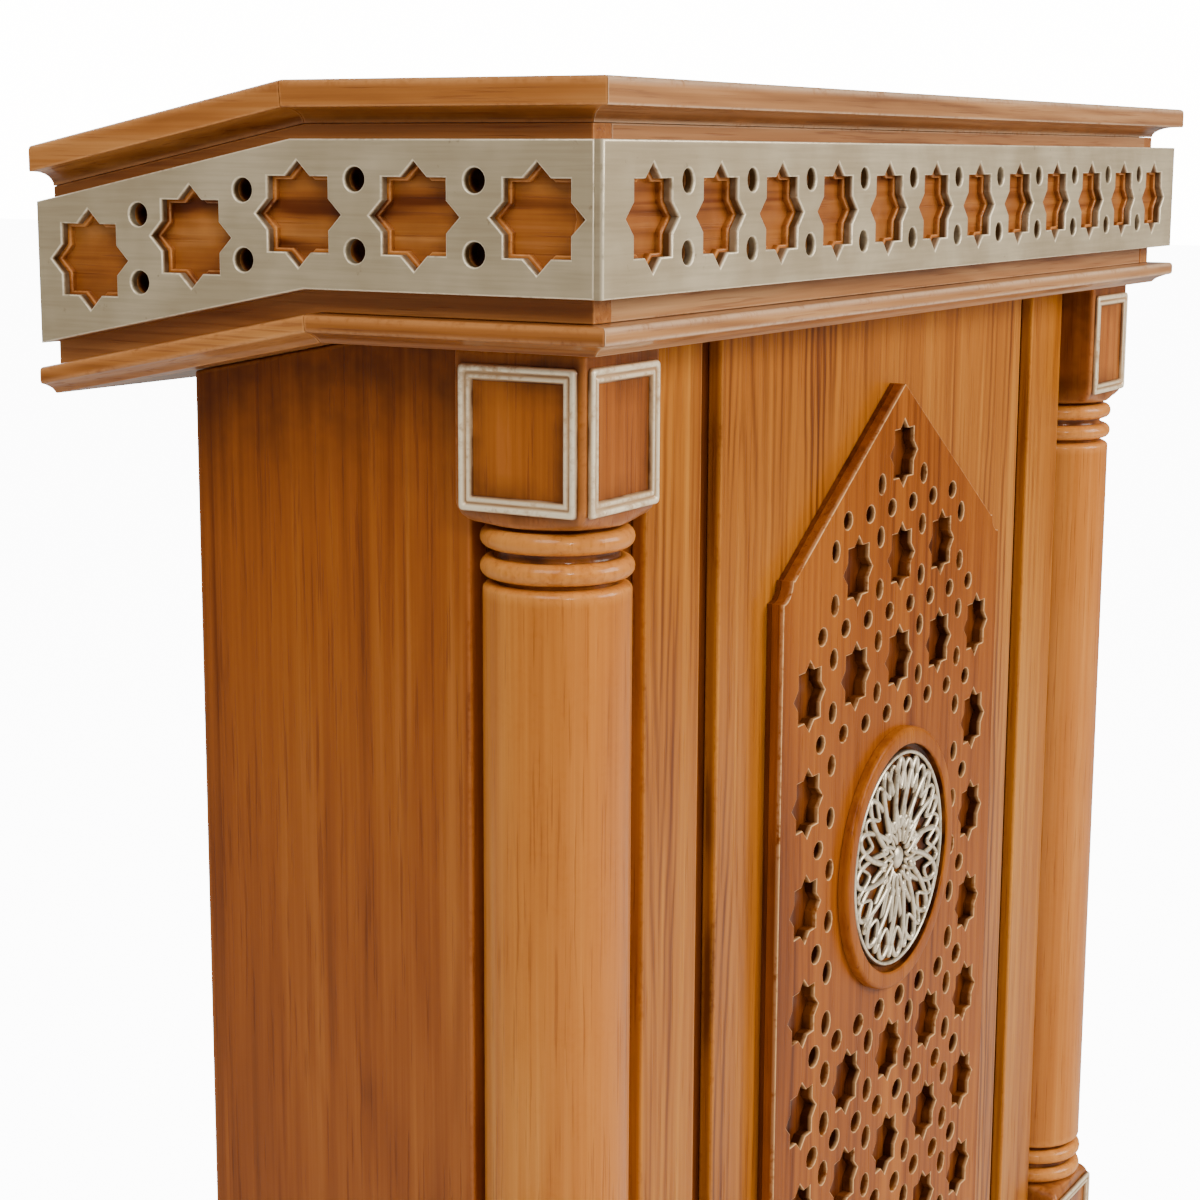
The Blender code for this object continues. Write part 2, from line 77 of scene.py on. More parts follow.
# meshes from arrays
def gridFaces(rows, columns, closeRows=False, closeColumns=False, first=0):
    # quads between neighbouring points of a rows by columns grid, wrapped where it closes
    r = np.arange(rows if closeRows else rows - 1)
    c = np.arange(columns if closeColumns else columns - 1)
    r, c = np.meshgrid(r, c, indexing="ij")
    r2, c2 = (r + 1) % rows, (c + 1) % columns
    quads = np.stack([r * columns + c, r * columns + c2, r2 * columns + c2, r2 * columns + c], -1)
    return quads.reshape(-1, 4) + first


meshing = {"edgeGain": 9, "weld": 2e-6, "sliver": 1e-6}  # edgeGain: how fast a bend becomes a full ridge


def measureEdges(mesh):
    # how far the neighbours of each point fall below its tangent plane (ridges) or rise above it (hollows)
    count = len(mesh.vertices)
    points, normals = np.zeros(count * 3), np.zeros(count * 3)
    mesh.vertices.foreach_get("co", points)
    mesh.vertex_normals.foreach_get("vector", normals)
    points, normals = points.reshape(-1, 3), normals.reshape(-1, 3)
    ends = np.zeros(len(mesh.edges) * 2, int)
    mesh.edges.foreach_get("vertices", ends)
    a, b = ends.reshape(-1, 2).T
    step = points[b] - points[a]
    step /= np.maximum(np.linalg.norm(step, axis=1, keepdims=True), 1e-9)
    fall = np.bincount(a, -np.sum(step * normals[a], 1), count)
    fall += np.bincount(b, np.sum(step * normals[b], 1), count)
    fall /= np.maximum(np.bincount(a, minlength=count) + np.bincount(b, minlength=count), 1)
    return np.clip(fall * meshing["edgeGain"], 0, 1), np.clip(-fall * meshing["edgeGain"], 0, 1)


def addObject(name, data):
    made = bpy.data.objects.new(name, data)
    bpy.context.scene.collection.objects.link(made)
    return made


def addPiece(node, points, faces, material, slotName="teak", sharp=38.0, seed=0.0, rim=None, hollow=None):
    # rim and hollow may be given, and are measured on the mesh where they aren't
    mesh = bpy.data.meshes.new(node + "_fine")
    mesh.from_pydata(np.asarray(points).tolist(), [], [list(map(int, f)) for f in faces])

    def addMark(label, values):
        mesh.attributes.new(label, "FLOAT", "POINT").data.foreach_set("value", np.asarray(values, "f"))

    for label, values in (("rim", rim), ("hollow", hollow)):
        if values is not None:
            addMark(label, values)
    shape = bmesh.new()
    shape.from_mesh(mesh)
    bmesh.ops.remove_doubles(shape, verts=shape.verts, dist=meshing["weld"])
    bmesh.ops.dissolve_degenerate(shape, edges=shape.edges, dist=meshing["sliver"])
    bmesh.ops.recalc_face_normals(shape, faces=shape.faces)
    shape.to_mesh(mesh)
    shape.free()
    ridges, dips = measureEdges(mesh)
    for label, values in (("rim", ridges), ("hollow", dips), ("seed", np.full(len(mesh.vertices), seed))):
        if label not in mesh.attributes:
            addMark(label, values)
    mesh.shade_smooth()
    mesh.set_sharp_from_angle(angle=math.radians(sharp))
    mesh.materials.append(material)
    piece = addObject(node + "_fine", mesh)
    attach(piece, "root")
    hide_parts(node)


def roundCorners(corners, radii, steps=4, flat=1.5):
    # each corner becomes a quadratic arc that starts and ends its radius away from it; one more point on each
    # flat keeps its shading even
    p = np.asarray(corners, float)
    before, after = np.roll(p, 1, axis=0) - p, np.roll(p, -1, axis=0) - p
    r = np.asarray(radii, float)[:, None]
    before /= np.linalg.norm(before, axis=1, keepdims=True)
    after /= np.linalg.norm(after, axis=1, keepdims=True)
    a, b = p + before * r, p + after * r
    t = np.linspace(0, 1, steps + 1)[None, :, None]
    arc = (1 - t) ** 2 * a[:, None] + 2 * t * (1 - t) * p[:, None] + t ** 2 * b[:, None]
    first, last = (p + before * r * flat)[:, None], (p + after * r * flat)[:, None]
    return np.concatenate([first, arc, last], 1).reshape(-1, 2)


def boardSurface(low, high, radius, stops):
    # a point on the box is kept within radius of a smaller inner box, which rounds every edge and corner
    low, high = np.array(low, float), np.array(high, float)
    ease = radius * np.array([0.0, 0.25, 0.55, 1.0, 1.6])
    lines = [np.unique(np.r_[low[k] + ease, high[k] - ease, np.array(stops[k], float)]) for k in range(3)]
    points, faces, count = [], [], 0
    for k in range(3):
        i, j = [axis for axis in range(3) if axis != k]
        u, v = np.meshgrid(lines[i], lines[j], indexing="ij")
        for wall in (low[k], high[k]):
            grid = np.zeros(u.shape + (3,))
            grid[..., i], grid[..., j], grid[..., k] = u, v, wall
            inner = np.clip(grid, low + radius, high - radius)
            away = grid - inner
            grid = inner + radius * away / np.maximum(np.linalg.norm(away, axis=-1, keepdims=True), 1e-9)
            points.append(grid.reshape(-1, 3))
            faces.append(gridFaces(*u.shape, first=count))
            count += u.size
    return np.concatenate(points), np.concatenate(faces)


def addBoard(node, material, radius, seed, stops=((), (), ()), warp=None, box=None, paintedShade=None,
             slotName="teak"):
    low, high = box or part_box(node)
    points, faces = boardSurface(low, high, radius, stops)
    hollow = paintedShade(points) if paintedShade else None
    if warp:
        points = warp(points)
    addPiece(node, points, faces, material, slotName, seed=seed, hollow=hollow)


def carryProfile(profile, start, run, outward, up, slides, endStrip=0.0015):
    # every point of the profile travels along run; its two ends slide by so much per unit outward and up
    profile = np.asarray(profile, float)
    start, run, outward, up = (np.array(v, float) for v in (start, run, outward, up))
    length = np.linalg.norm(run)
    strip = endStrip / length
    t = np.array([0, strip, 3 * strip, 0.5, 1 - 3 * strip, 1 - strip, 1])[:, None]
    slide = [profile @ np.array(s, float) for s in slides]
    along = t * length + (1 - t) * slide[0][None] + t * slide[1][None]
    section = start + profile[:, :1] * outward + profile[:, 1:] * up
    points = section[None] + along[..., None] * (run / length)
    faces = gridFaces(len(t), len(profile), closeColumns=True).tolist()
    last = (len(t) - 1) * len(profile)
    faces += [list(range(len(profile))), list(range(last, last + len(profile)))]
    return points.reshape(-1, 3), faces


def turnSurface(profile, centre, axis="Z", steps=96):
    # a half section (radius, height) is turned round the axis; heights along -Y stand out of the front
    profile = np.asarray(profile, float)
    angle = np.linspace(0, 2 * np.pi, steps, endpoint=False)
    r, h = profile[:, 0][:, None], profile[:, 1][:, None] + 0 * angle[None]
    a, b = r * np.cos(angle), r * np.sin(angle)
    points = np.stack([a, b, h] if axis == "Z" else [a, -h, b], -1) + np.array(centre, float)
    return points.reshape(-1, 3), gridFaces(len(profile), steps, closeColumns=True)


def offsetLoop(loop, distance):
    # moves a closed outline sideways by distance, to the left of its direction, with mitred corners
    side = np.roll(loop, -1, axis=0) - loop
    normal = np.stack([-side[:, 1], side[:, 0]], 1) / np.linalg.norm(side, axis=1, keepdims=True)
    earlier = np.roll(normal, 1, axis=0)
    return loop + distance * (normal + earlier) / (1 + np.sum(normal * earlier, axis=1, keepdims=True))


def loopArea(loop):
    following = np.roll(loop, -1, axis=0)
    return np.sum(loop[:, 0] * following[:, 1] - following[:, 0] * loop[:, 1]) / 2


# rim rows give each lip a painted highlight and wear; hollow rows give the walls painted shade that deepens
# downwards
pierce = {"flat": 1.7, "wall": 0.35, "outlineShade": 0.2, "rim": (0.0, 0.0, 0.8, 1.0, 0.5, 0.0, 0.0),
          "hollow": (0.0, 0.0, 0.0, 0.0, 0.6, 0.9, 1.0)}


def piercedSurface(outline, holes, thickness, edge, pockets=()):
    # a rounded lip is carried round the outline and every hole, and the flats between are filled; holes go
    # right through, pockets are (outline, depth, painted shade) with a floor of their own
    loops = [(np.asarray(outline, float), thickness, pierce["outlineShade"])]
    loops += [(np.asarray(hole, float), thickness, 1.0) for hole in holes]
    loops += [(np.asarray(hole, float), depth, paintedShade) for hole, depth, paintedShade in pockets]
    turn = np.linspace(0, np.pi / 2, 4)
    lip = [(edge * pierce["flat"], 0.0)] + [(edge * (1 - math.sin(a)), edge * (1 - math.cos(a))) for a in turn]
    points, faces, rim, hollow, fronts, backs, count = [], [], [], [], [], [], 0
    for k, (loop, depth, paintedShade) in enumerate(loops):
        loop = loop if (loopArea(loop) > 0) == (k == 0) else loop[::-1]
        levels = lip + [(0.0, edge + (depth - edge) * pierce["wall"]), (0.0, depth)]
        rows = [np.c_[offsetLoop(loop, inset), np.full(len(loop), level)] for inset, level in levels]
        points += rows
        rim += [np.full(len(loop), value) for value in pierce["rim"]]
        # the walls take painted shade, scaled for each loop
        hollow += [np.full(len(loop), value * paintedShade) for value in pierce["hollow"]]
        faces += gridFaces(len(rows), len(loop), closeColumns=True, first=count).tolist()
        last = count + (len(rows) - 1) * len(loop)
        fronts.append((rows[0], count))
        if depth == thickness:
            backs.append((rows[-1], last))
        else:
            faces.append(list(range(last, last + len(loop))))
        count += len(rows) * len(loop)
    for group in (fronts, backs):
        index = np.concatenate([np.arange(len(row)) + first for row, first in group])
        flat = tessellate_polygon([[Vector((x, y, 0)) for x, y, depth in row] for row, first in group])
        faces += [[int(index[corner]) for corner in face] for face in flat]
    return np.concatenate(points), faces, {"rim": np.concatenate(rim), "hollow": np.concatenate(hollow)}


def starLoop(x, y, radius, inner=0.765):
    # sixteen corners, every second one pulled in to the inner radius
    k = np.arange(16)
    angle = np.pi / 2 + k * np.pi / 8
    reach = np.where(k % 2 == 0, radius, radius * inner)
    return np.stack([x + reach * np.cos(angle), y + reach * np.sin(angle)], 1)


def roundLoop(x, y, radius, corners):
    angle = np.arange(corners) * 2 * np.pi / corners
    return np.stack([x + radius * np.cos(angle), y + radius * np.sin(angle)], 1)


# material groups
def feed(made, inputs):
    # outputs are linked, colours get their alpha, and other values are set as they are
    for key, value in inputs.items():
        socket = made.inputs[key]
        if isinstance(value, bpy.types.NodeSocket):
            made.id_data.links.new(value, socket)
        else:
            socket.default_value = (*value, 1.0) if socket.type == "RGBA" else value


def addNode(tree, kind, inputs=None, **settings):
    made = tree.nodes.new(kind)
    for key, value in settings.items():
        setattr(made, key, value)
    feed(made, inputs or {})
    return made


def newGroup(name, inputs, outputs):
    group = bpy.data.node_groups.new(name, "ShaderNodeTree")
    for side, sockets in (("INPUT", inputs), ("OUTPUT", outputs)):
        for kind, labels in sockets:
            for label in labels:
                group.interface.new_socket(label, in_out=side, socket_type="NodeSocket" + kind)
    return group, group.nodes.new("NodeGroupInput").outputs, group.nodes.new("NodeGroupOutput")


# the first value of each of these is an output, and the new nodes go in its tree
def work(operation, a, b=None, clamp=False):
    inputs = {0: a} if b is None else {0: a, 1: b}
    return addNode(a.id_data, "ShaderNodeMath", inputs, operation=operation, use_clamp=clamp).outputs[0]


def times(a, b, clamp=False):
    return work("MULTIPLY", a, b, clamp)


def plus(a, b):
    return work("ADD", a, b)


def minus(a, b):
    return work("SUBTRACT", a, b)


def ramp(value, low, high):
    inputs = {"Value": value, "From Min": low, "From Max": high}
    made = addNode(value.id_data, "ShaderNodeMapRange", inputs, interpolation_type="SMOOTHSTEP")
    return made.outputs["Result"]


def noise(vector, scale, detail, roughness=0.55, stretch=(1, 1, 1), distortion=0.0):
    tree = vector.id_data
    mapping = addNode(tree, "ShaderNodeMapping", {"Vector": vector, "Scale": stretch})
    inputs = {"Vector": mapping.outputs[0], "Scale": scale, "Detail": detail, "Roughness": roughness,
              "Distortion": distortion}
    return addNode(tree, "ShaderNodeTexNoise", inputs).outputs["Fac"]


def mix(factor, a, b, blend="MIX"):
    inputs = {0: factor, 6: a, 7: b}
    return addNode(factor.id_data, "ShaderNodeMix", inputs, data_type="RGBA", blend_type=blend).outputs[2]


placeInput = ("Vector", ("Vector",))
surfaceOutputs = (("Color", ("Color",)), ("Float", ("Roughness", "Height")))


def makeGrainGroup():
    # grain runs along the vector's Z. Boards are glued from staves, each sawn beside its own heart, so growth
    # rings show as nested arches: ring number = distance from the heart line, plus a little of the height
    group, given, result = newGroup(
        "teakGrain", (placeInput, ("Color", ("Dark", "Middle", "Light")),
                      ("Float", ("Figure", "Streaks", "Staves", "Width"))), surfaceOutputs)
    vector, width = given["Vector"], given["Width"]
    x, y, z = addNode(group, "ShaderNodeSeparateXYZ", {0: vector}).outputs
    # which stave, its chance value, and the distance from its heart
    across = work("DIVIDE", plus(x, 3.0), width)
    inputs = {"W": work("FLOOR", across)}
    chance = addNode(group, "ShaderNodeTexWhiteNoise", inputs, noise_dimensions="1D").outputs["Value"]
    inStave = times(minus(work("FRACT", across), 0.5), width)
    fromHeart = minus(inStave, times(minus(chance, 0.5), times(width, 0.9)))
    depth = plus(times(y, 0.35), 0.045)
    radius = work("SQRT", plus(times(fromHeart, fromHeart), times(depth, depth)))
    # growth rings, bent by two slow noises and fading in and out
    wander = noise(vector, 1.0, 2.0, 0.5, (3.0, 3.0, 1.2))
    sway = noise(vector, 1.0, 3.0, 0.55, (13.0, 13.0, 4.0))
    ring = plus(times(radius, 88.0), times(z, plus(chance, 1.2)))
    ring = plus(ring, plus(times(wander, 8.0), times(sway, 2.2)))
    ring = plus(ring, times(chance, 17.0))
    wave = plus(times(work("SINE", times(ring, 6.2832)), 0.5), 0.5)
    fade = ramp(noise(vector, 1.0, 2.0, 0.5, (7.0, 7.0, 1.6)), 0.30, 0.68)
    uneven = ramp(noise(vector, 1.0, 2.0, 0.5, (60.0, 60.0, 1.2)), 0.28, 0.66)
    lines = times(times(work("POWER", wave, 1.9), times(fade, given["Figure"])), uneven)
    # tone of the wood, from broad bands down to fibres
    broad = noise(vector, 1.0, 4.0, 0.6, (21.0, 21.0, 0.9))
    cloud = noise(vector, 1.0, 3.0, 0.5, (5.0, 5.0, 2.2))
    fibre = noise(vector, 1.0, 4.0, 0.65, (150.0, 150.0, 2.2))
    pore = noise(vector, 1.0, 2.0, 0.5, (480.0, 480.0, 14.0))
    tone = plus(plus(times(broad, 0.42), times(fibre, 0.41)), times(cloud, 0.30))
    staveTone = times(minus(chance, 0.5), given["Staves"])
    tone = plus(times(minus(tone, 0.565), 1.25), 0.60)
    tone = minus(plus(tone, staveTone), times(lines, 0.42))
    colour = mix(ramp(tone, 0.26, 0.60), given["Dark"], given["Middle"])
    colour = mix(ramp(tone, 0.52, 0.86), colour, given["Light"])
    # mineral streaks, pores and glue lines
    streak = ramp(noise(vector, 1.0, 3.0, 0.55, (17.0, 17.0, 0.75), 0.3), 0.62, 0.74)
    thin = ramp(noise(vector, 1.0, 2.0, 0.5, (80.0, 80.0, 1.5)), 0.62, 0.74)
    streakMask = times(work("MAXIMUM", times(streak, 0.8), thin), given["Streaks"])
    colour = mix(streakMask, colour, (0.36, 0.18, 0.10), "MULTIPLY")
    poreMask = ramp(pore, 0.58, 0.70)
    colour = mix(times(poreMask, 0.40), colour, (0.42, 0.26, 0.16), "MULTIPLY")
    seam = work("ABSOLUTE", minus(work("FRACT", across), 0.5))
    seamMask = times(ramp(seam, 0.4935, 0.4985), times(given["Staves"], 0.9), True)
    rough = plus(times(fibre, 0.16), times(poreMask, 0.10))
    feed(result, {"Color": mix(seamMask, colour, (0.35, 0.2, 0.12), "MULTIPLY"),
                  "Roughness": plus(rough, plus(times(cloud, 0.10), 0.20)),
                  "Height": minus(times(fibre, 0.5), times(poreMask, 0.6))})
    return group


def makeEdgeGroup():
    # ridges are rubbed paler, as wear and painted highlight, and hollows take painted shade, both broken up by
    # noise
    group, given, result = newGroup(
        "wearHighlightShade", (placeInput, ("Color", ("Color", "WornLitColour", "ShadeColour")),
                     ("Float", ("Rim", "Hollow", "WearHighlight", "ShadeAmount"))), (("Color", ("Color",)),))
    fine = noise(given["Vector"], 240.0, 3.0, 0.6)
    patch = noise(given["Vector"], 30.0, 3.0, 0.6)
    edge = times(times(given["Rim"], ramp(plus(fine, patch), 0.62, 1.05)), given["WearHighlight"], True)
    shadeStrength = times(times(given["Hollow"], plus(ramp(patch, 0.3, 0.7), 0.5)), given["ShadeAmount"], True)
    colour = mix(shadeStrength, given["Color"], given["ShadeColour"])
    feed(result, {"Color": mix(edge, colour, given["WornLitColour"])})
    return group


def makePaintGroup():
    # metal paint laid on wood: cloudy tone, a faint brushed lay, and small specks where it is thin
    group, given, result = newGroup(
        "leafPaint", (placeInput, ("Color", ("Base", "Pale", "Thin"))), surfaceOutputs)
    vector = given["Vector"]
    cloud = noise(vector, 14.0, 3.0, 0.6)
    lay = noise(vector, 1.0, 3.0, 0.6, (12.0, 12.0, 320.0))
    fine = noise(vector, 300.0, 3.0, 0.6)
    speck = ramp(noise(vector, 90.0, 4.0, 0.65), 0.66, 0.76)
    colour = mix(times(ramp(cloud, 0.35, 0.75), 0.30), given["Base"], given["Pale"])
    colour = mix(times(ramp(lay, 0.35, 0.70), 0.16), colour, given["Thin"])
    rough = plus(times(fine, 0.20), times(cloud, 0.14))
    feed(result, {"Color": mix(times(speck, 0.45), colour, given["Thin"]), "Roughness": plus(rough, 0.20),
                  "Height": plus(times(fine, 0.5), times(lay, 0.5))})
    return group


grainGroup = makeGrainGroup()
edgeGroup = makeEdgeGroup()
paintGroup = makePaintGroup()
grainTurns = {"Z": (0.0, 0.0, 0.0), "X": (0.0, -math.pi / 2, 0.0), "Y": (math.pi / 2, 0.0, 0.0),
              "deepZ": (0.0, 0.0, math.pi / 2), "flatX": (math.pi / 2, -math.pi / 2, 0.0)}
seedShift = (0.61, 0.47, 1.37)  # how far a seed of one moves the grain


def newMaterial(name):
    material = bpy.data.materials.new(name)
    material.use_nodes = True
    tree = material.node_tree
    place = addNode(tree, "ShaderNodeTexCoord").outputs["Object"]
    return material, tree, tree.nodes["Principled BSDF"], place


def wearAndPaintedLight(tree, place, colour, edge, paintedShade, rubAndHighlight, shadeStrength):
    # the ridge and hollow attributes of the mesh lead the edge wear and painted highlight on ridges, and the
    # painted shade in hollows
    inputs = {"Vector": place, "Color": colour, "WornLitColour": edge, "ShadeColour": paintedShade, "WearHighlight": rubAndHighlight, "ShadeAmount": shadeStrength}
    for label, attribute in (("Rim", "rim"), ("Hollow", "hollow")):
        inputs[label] = addNode(tree, "ShaderNodeAttribute", attribute_name=attribute).outputs["Fac"]
    return addNode(tree, "ShaderNodeGroup", inputs, node_tree=edgeGroup).outputs["Color"]


def relief(tree, height, distance, strength):
    inputs = {"Height": height, "Distance": distance, "Strength": strength}
    return addNode(tree, "ShaderNodeBump", inputs).outputs[0]


def woodMaterial(name, grainAlong, tone, figure=0.5, streaks=0.4, staves=0.0, width=0.11, coat=0.25, rubAndHighlight=0.35,
                 shadeStrength=0.8, shine=0.20, edge=None):
    material, tree, shader, place = newMaterial(name)
    seed = addNode(tree, "ShaderNodeAttribute", attribute_name="seed").outputs["Fac"]
    inputs = {0: seed, 1: seedShift, 2: place}
    shift = addNode(tree, "ShaderNodeVectorMath", inputs, operation="MULTIPLY_ADD").outputs[0]
    inputs = {"Vector": shift, "Rotation": grainTurns[grainAlong]}
    turned = addNode(tree, "ShaderNodeMapping", inputs).outputs[0]
    dark, middle, light = tones[tone]
    inputs = {"Vector": turned, "Dark": dark, "Middle": middle, "Light": light, "Figure": figure,
              "Streaks": streaks, "Staves": staves, "Width": width}
    grain = addNode(tree, "ShaderNodeGroup", inputs, node_tree=grainGroup).outputs
    # ridges turn pale, as wear and painted highlight, and hollows turn a darker tone of the wood, as painted shade
    pale = edge or tuple(min(1.0, channel * 1.5 + 0.03) for channel in light)
    deep = tuple(channel * 0.4 for channel in dark)
    feed(shader, {"Base Color": wearAndPaintedLight(tree, place, grain["Color"], pale, deep, rubAndHighlight, shadeStrength),
                  "Roughness": grain["Roughness"], "Normal": relief(tree, grain["Height"], 0.00025, 0.8),
                  "Specular IOR Level": shine, "Coat Weight": coat * 0.6, "Coat Roughness": 0.12})
    return material


def leafMaterial(name, base, pale, thin, metallic):
    material, tree, shader, place = newMaterial(name)
    inputs = {"Vector": place, "Base": base, "Pale": pale, "Thin": thin}
    paint = addNode(tree, "ShaderNodeGroup", inputs, node_tree=paintGroup).outputs
    # edges turn pale, as painted highlight and wear, and hollows take the thin colour as painted shade
    feed(shader, {"Base Color": wearAndPaintedLight(tree, place, paint["Color"], pale, thin, 0.95, 0.9),
                  "Roughness": paint["Roughness"], "Normal": relief(tree, paint["Height"], 0.00012, 0.6),
                  "Metallic": metallic})
    return material


tones = {  # dark, middle and light tone of each wood
    "side": ((0.140, 0.029, 0.0026), (0.312, 0.079, 0.0078), (0.48, 0.160, 0.024)),
    "front": ((0.165, 0.040, 0.0026), (0.385, 0.117, 0.0082), (0.58, 0.226, 0.025)),
    "column": ((0.290, 0.074, 0.0075), (0.530, 0.164, 0.0190), (0.69, 0.270, 0.046)),
    "block": ((0.120, 0.025, 0.0022), (0.360, 0.098, 0.0110), (0.55, 0.190, 0.030)),
    # moulding and pale are one wood: pale is it made paler as a painted sheen, and is given to the across-grain
    # pieces
    "moulding": ((0.150, 0.040, 0.0065), (0.385, 0.132, 0.0250), (0.60, 0.265, 0.075)),
    "pale": ((0.170, 0.053, 0.0120), (0.430, 0.185, 0.0600), (0.68, 0.380, 0.165)),
    "orange": ((0.120, 0.024, 0.0030), (0.365, 0.110, 0.0180), (0.62, 0.255, 0.060)),
    "lattice": ((0.105, 0.020, 0.0014), (0.290, 0.073, 0.0052), (0.44, 0.135, 0.013)),
    "darkBacking": ((0.036, 0.0055, 0.0007), (0.130, 0.028, 0.0028), (0.24, 0.066, 0.0075)),
    "plain": ((0.110, 0.036, 0.0065), (0.240, 0.092, 0.0180), (0.36, 0.165, 0.042)),
}
sideTeak = woodMaterial("sideTeak", "deepZ", "side", figure=0.28, streaks=0.65, staves=0.12, width=0.107)
frontTeak = woodMaterial("frontTeak", "Z", "front", figure=0.95, streaks=0.6, staves=0.10, width=0.131,
                         shine=0.14)
stileTeak = woodMaterial("stileTeak", "Z", "front", figure=0.6, streaks=0.6, shine=0.10, rubAndHighlight=0.3)
columnTeak = woodMaterial("columnTeak", "Z", "column", figure=0.25, streaks=0.15, width=0.40, coat=0.40,
                          shadeStrength=0.9, shine=0.12)
blockTeak = woodMaterial("blockTeak", "Z", "block", figure=0.6, streaks=0.45, width=0.40)
# acrossTeak is the across-grain copy of deepTeak's wood, paler as a painted sheen, with a painted highlight colour
# on its ridges
acrossTeak = woodMaterial("acrossTeak", "X", "pale", figure=0.6, streaks=0.5, width=0.30, coat=0.9, rubAndHighlight=0.45,
                          shadeStrength=0.4, edge=(0.90, 0.66, 0.44))
deepTeak = woodMaterial("deepTeak", "Y", "moulding", figure=0.6, streaks=0.6, width=0.30, coat=0.5, rubAndHighlight=0.30,
                        shadeStrength=0.35)
topTeak = woodMaterial("topTeak", "flatX", "front", figure=0.9, streaks=0.4, staves=0.12, width=0.095, coat=0.5)
orangeAcross = woodMaterial("orangeAcross", "X", "orange", figure=1.0, streaks=0.9, width=0.30, shadeStrength=1.4)
orangeDeep = woodMaterial("orangeDeep", "Y", "orange", figure=1.0, streaks=0.8, width=0.30, shadeStrength=1.4)
# latticeTeak's pale ridge colour is a painted highlight along the carved edges, with wear
latticeTeak = woodMaterial("latticeTeak", "Z", "lattice", figure=0.5, streaks=0.4, width=0.13, coat=0.1,
                           rubAndHighlight=1.0, shine=0.06, edge=(0.85, 0.50, 0.22))
# a very dark tone for the backing boards behind the grooves and the lattice holes
darkBackingTeak = woodMaterial("darkBackingTeak", "Z", "darkBacking", figure=0.5, streaks=0.6)
plainUp = woodMaterial("plainUp", "Z", "plain", figure=0.5, streaks=0.3, coat=0.1)
plainAcross = woodMaterial("plainAcross", "flatX", "plain", figure=0.6, streaks=0.3, staves=0.12, coat=0.1)
champagne = leafMaterial("champagnePaint", (0.47, 0.375, 0.230), (0.95, 0.82, 0.58), (0.11, 0.050, 0.014),
                         metallic=0.30)
framePaint = leafMaterial("framePaint", (0.60, 0.370, 0.180), (1.0, 0.86, 0.60), (0.13, 0.042, 0.010),
                          metallic=0.25)
silverLeaf = leafMaterial("silverLeaf", (0.40, 0.31, 0.19), (1.0, 0.89, 0.70), (0.045, 0.020, 0.006),
                          metallic=0.88)
print("materials ready:", len(bpy.data.materials))


# desk mouldings
capMoulding = {"out": 0.005, "top": 0.033, "face": 0.0155, "bottom": 0.009, "rim": 0.050, "lip": 0.012,
               "seat": 0.011, "ledge": 0.016, "neck": 0.016, "apron": 0.020, "crown": 0.0035,
              "coveStep": 0.0040}
lowMoulding = {"lipTop": -0.0995, "lipOut": 0.002, "lipHeight": 0.010, "cove": 0.007, "inner": -0.045}
joint = 0.0003


def capProfile(s):
    inner = s["out"] - s["rim"]
    back = -s["neck"] - s["apron"] - joint
    cove = np.linspace(0, np.pi / 2, 7)[1:-1]
    coveTop, coveFoot = (s["out"] - s["coveStep"], s["top"] - s["face"]), (-s["neck"], s["bottom"])
    hollow = [(coveFoot[0] + (coveTop[0] - coveFoot[0]) * (1 - math.sin(a)),
               coveTop[1] - (coveTop[1] - coveFoot[1]) * (1 - math.cos(a))) for a in cove]
    corners = [(inner, s["top"]), (s["out"], s["top"]), (s["out"], s["top"] - s["face"]), coveTop]
    corners += hollow + [coveFoot, (back, s["bottom"]), (back, s["seat"] - s["ledge"])]
    corners += [(inner - s["lip"], s["seat"] - s["ledge"]), (inner - s["lip"], s["seat"]), (inner, s["seat"])]
    radii = [0.0015, s["crown"], 0.0012, 0.0006] + [0.0] * (len(hollow) + 6)
    return roundCorners(corners, radii)


def lowProfile(s):
    low = s["lipTop"] - s["lipHeight"]
    bottom = low - s["cove"]
    corners = [(s["inner"], s["lipTop"]), (s["lipOut"], s["lipTop"]), (s["lipOut"], low), (-0.002, low - 0.0008),
               (-0.0085, low - 0.0035), (-0.012, bottom), (s["inner"], bottom)]
    return roundCorners(corners, [0.0, 0.0032, 0.0020, 0.0006, 0.0018, 0.0008, 0.0])


def runMoulding(stem, profile, front, deep):
    # three sides of the desk: mitred at the corners, and again where the sides bend down
    turn = math.tan(band["slope"] / 2)
    w, y0, y1, top = band["halfWidth"], band["front"], band["bend"], band["top"]
    length = (band["rear"] - y1) / math.cos(band["slope"])
    along = np.array([0, math.cos(band["slope"]), -math.sin(band["slope"])])
    square = np.array([0, math.sin(band["slope"]), math.cos(band["slope"])])
    points, faces = carryProfile(profile, (-w + 2 * joint, y0, top), (2 * w - 4 * joint, 0, 0), (0, -1, 0),
                                 upward, ((-1, 0), (1, 0)))
    addPiece(stem + "_front", points, faces, front)
    for sign, side in ((-1, "left"), (1, "right")):
        points, faces = carryProfile(profile, (sign * w, y0, top), (0, y1 - y0 - joint, 0), (sign, 0, 0),
                                     upward, ((-1, 0), (0, turn)))
        addPiece(f"{stem}_{side}_level", points, faces, deep, seed=0.3)
        start = np.array([sign * w, y1, top]) + along * joint
        points, faces = carryProfile(profile, start, along * (length - joint), (sign, 0, 0), square,
                                     ((0, -turn), (0, -math.tan(band["slope"]))))
        addPiece(f"{stem}_{side}_slope", points, faces, deep, seed=0.9)


runMoulding("cap", capProfile(capMoulding), acrossTeak, deepTeak)
runMoulding("lower_moulding", lowProfile(lowMoulding), acrossTeak, deepTeak)
print("desk mouldings done")


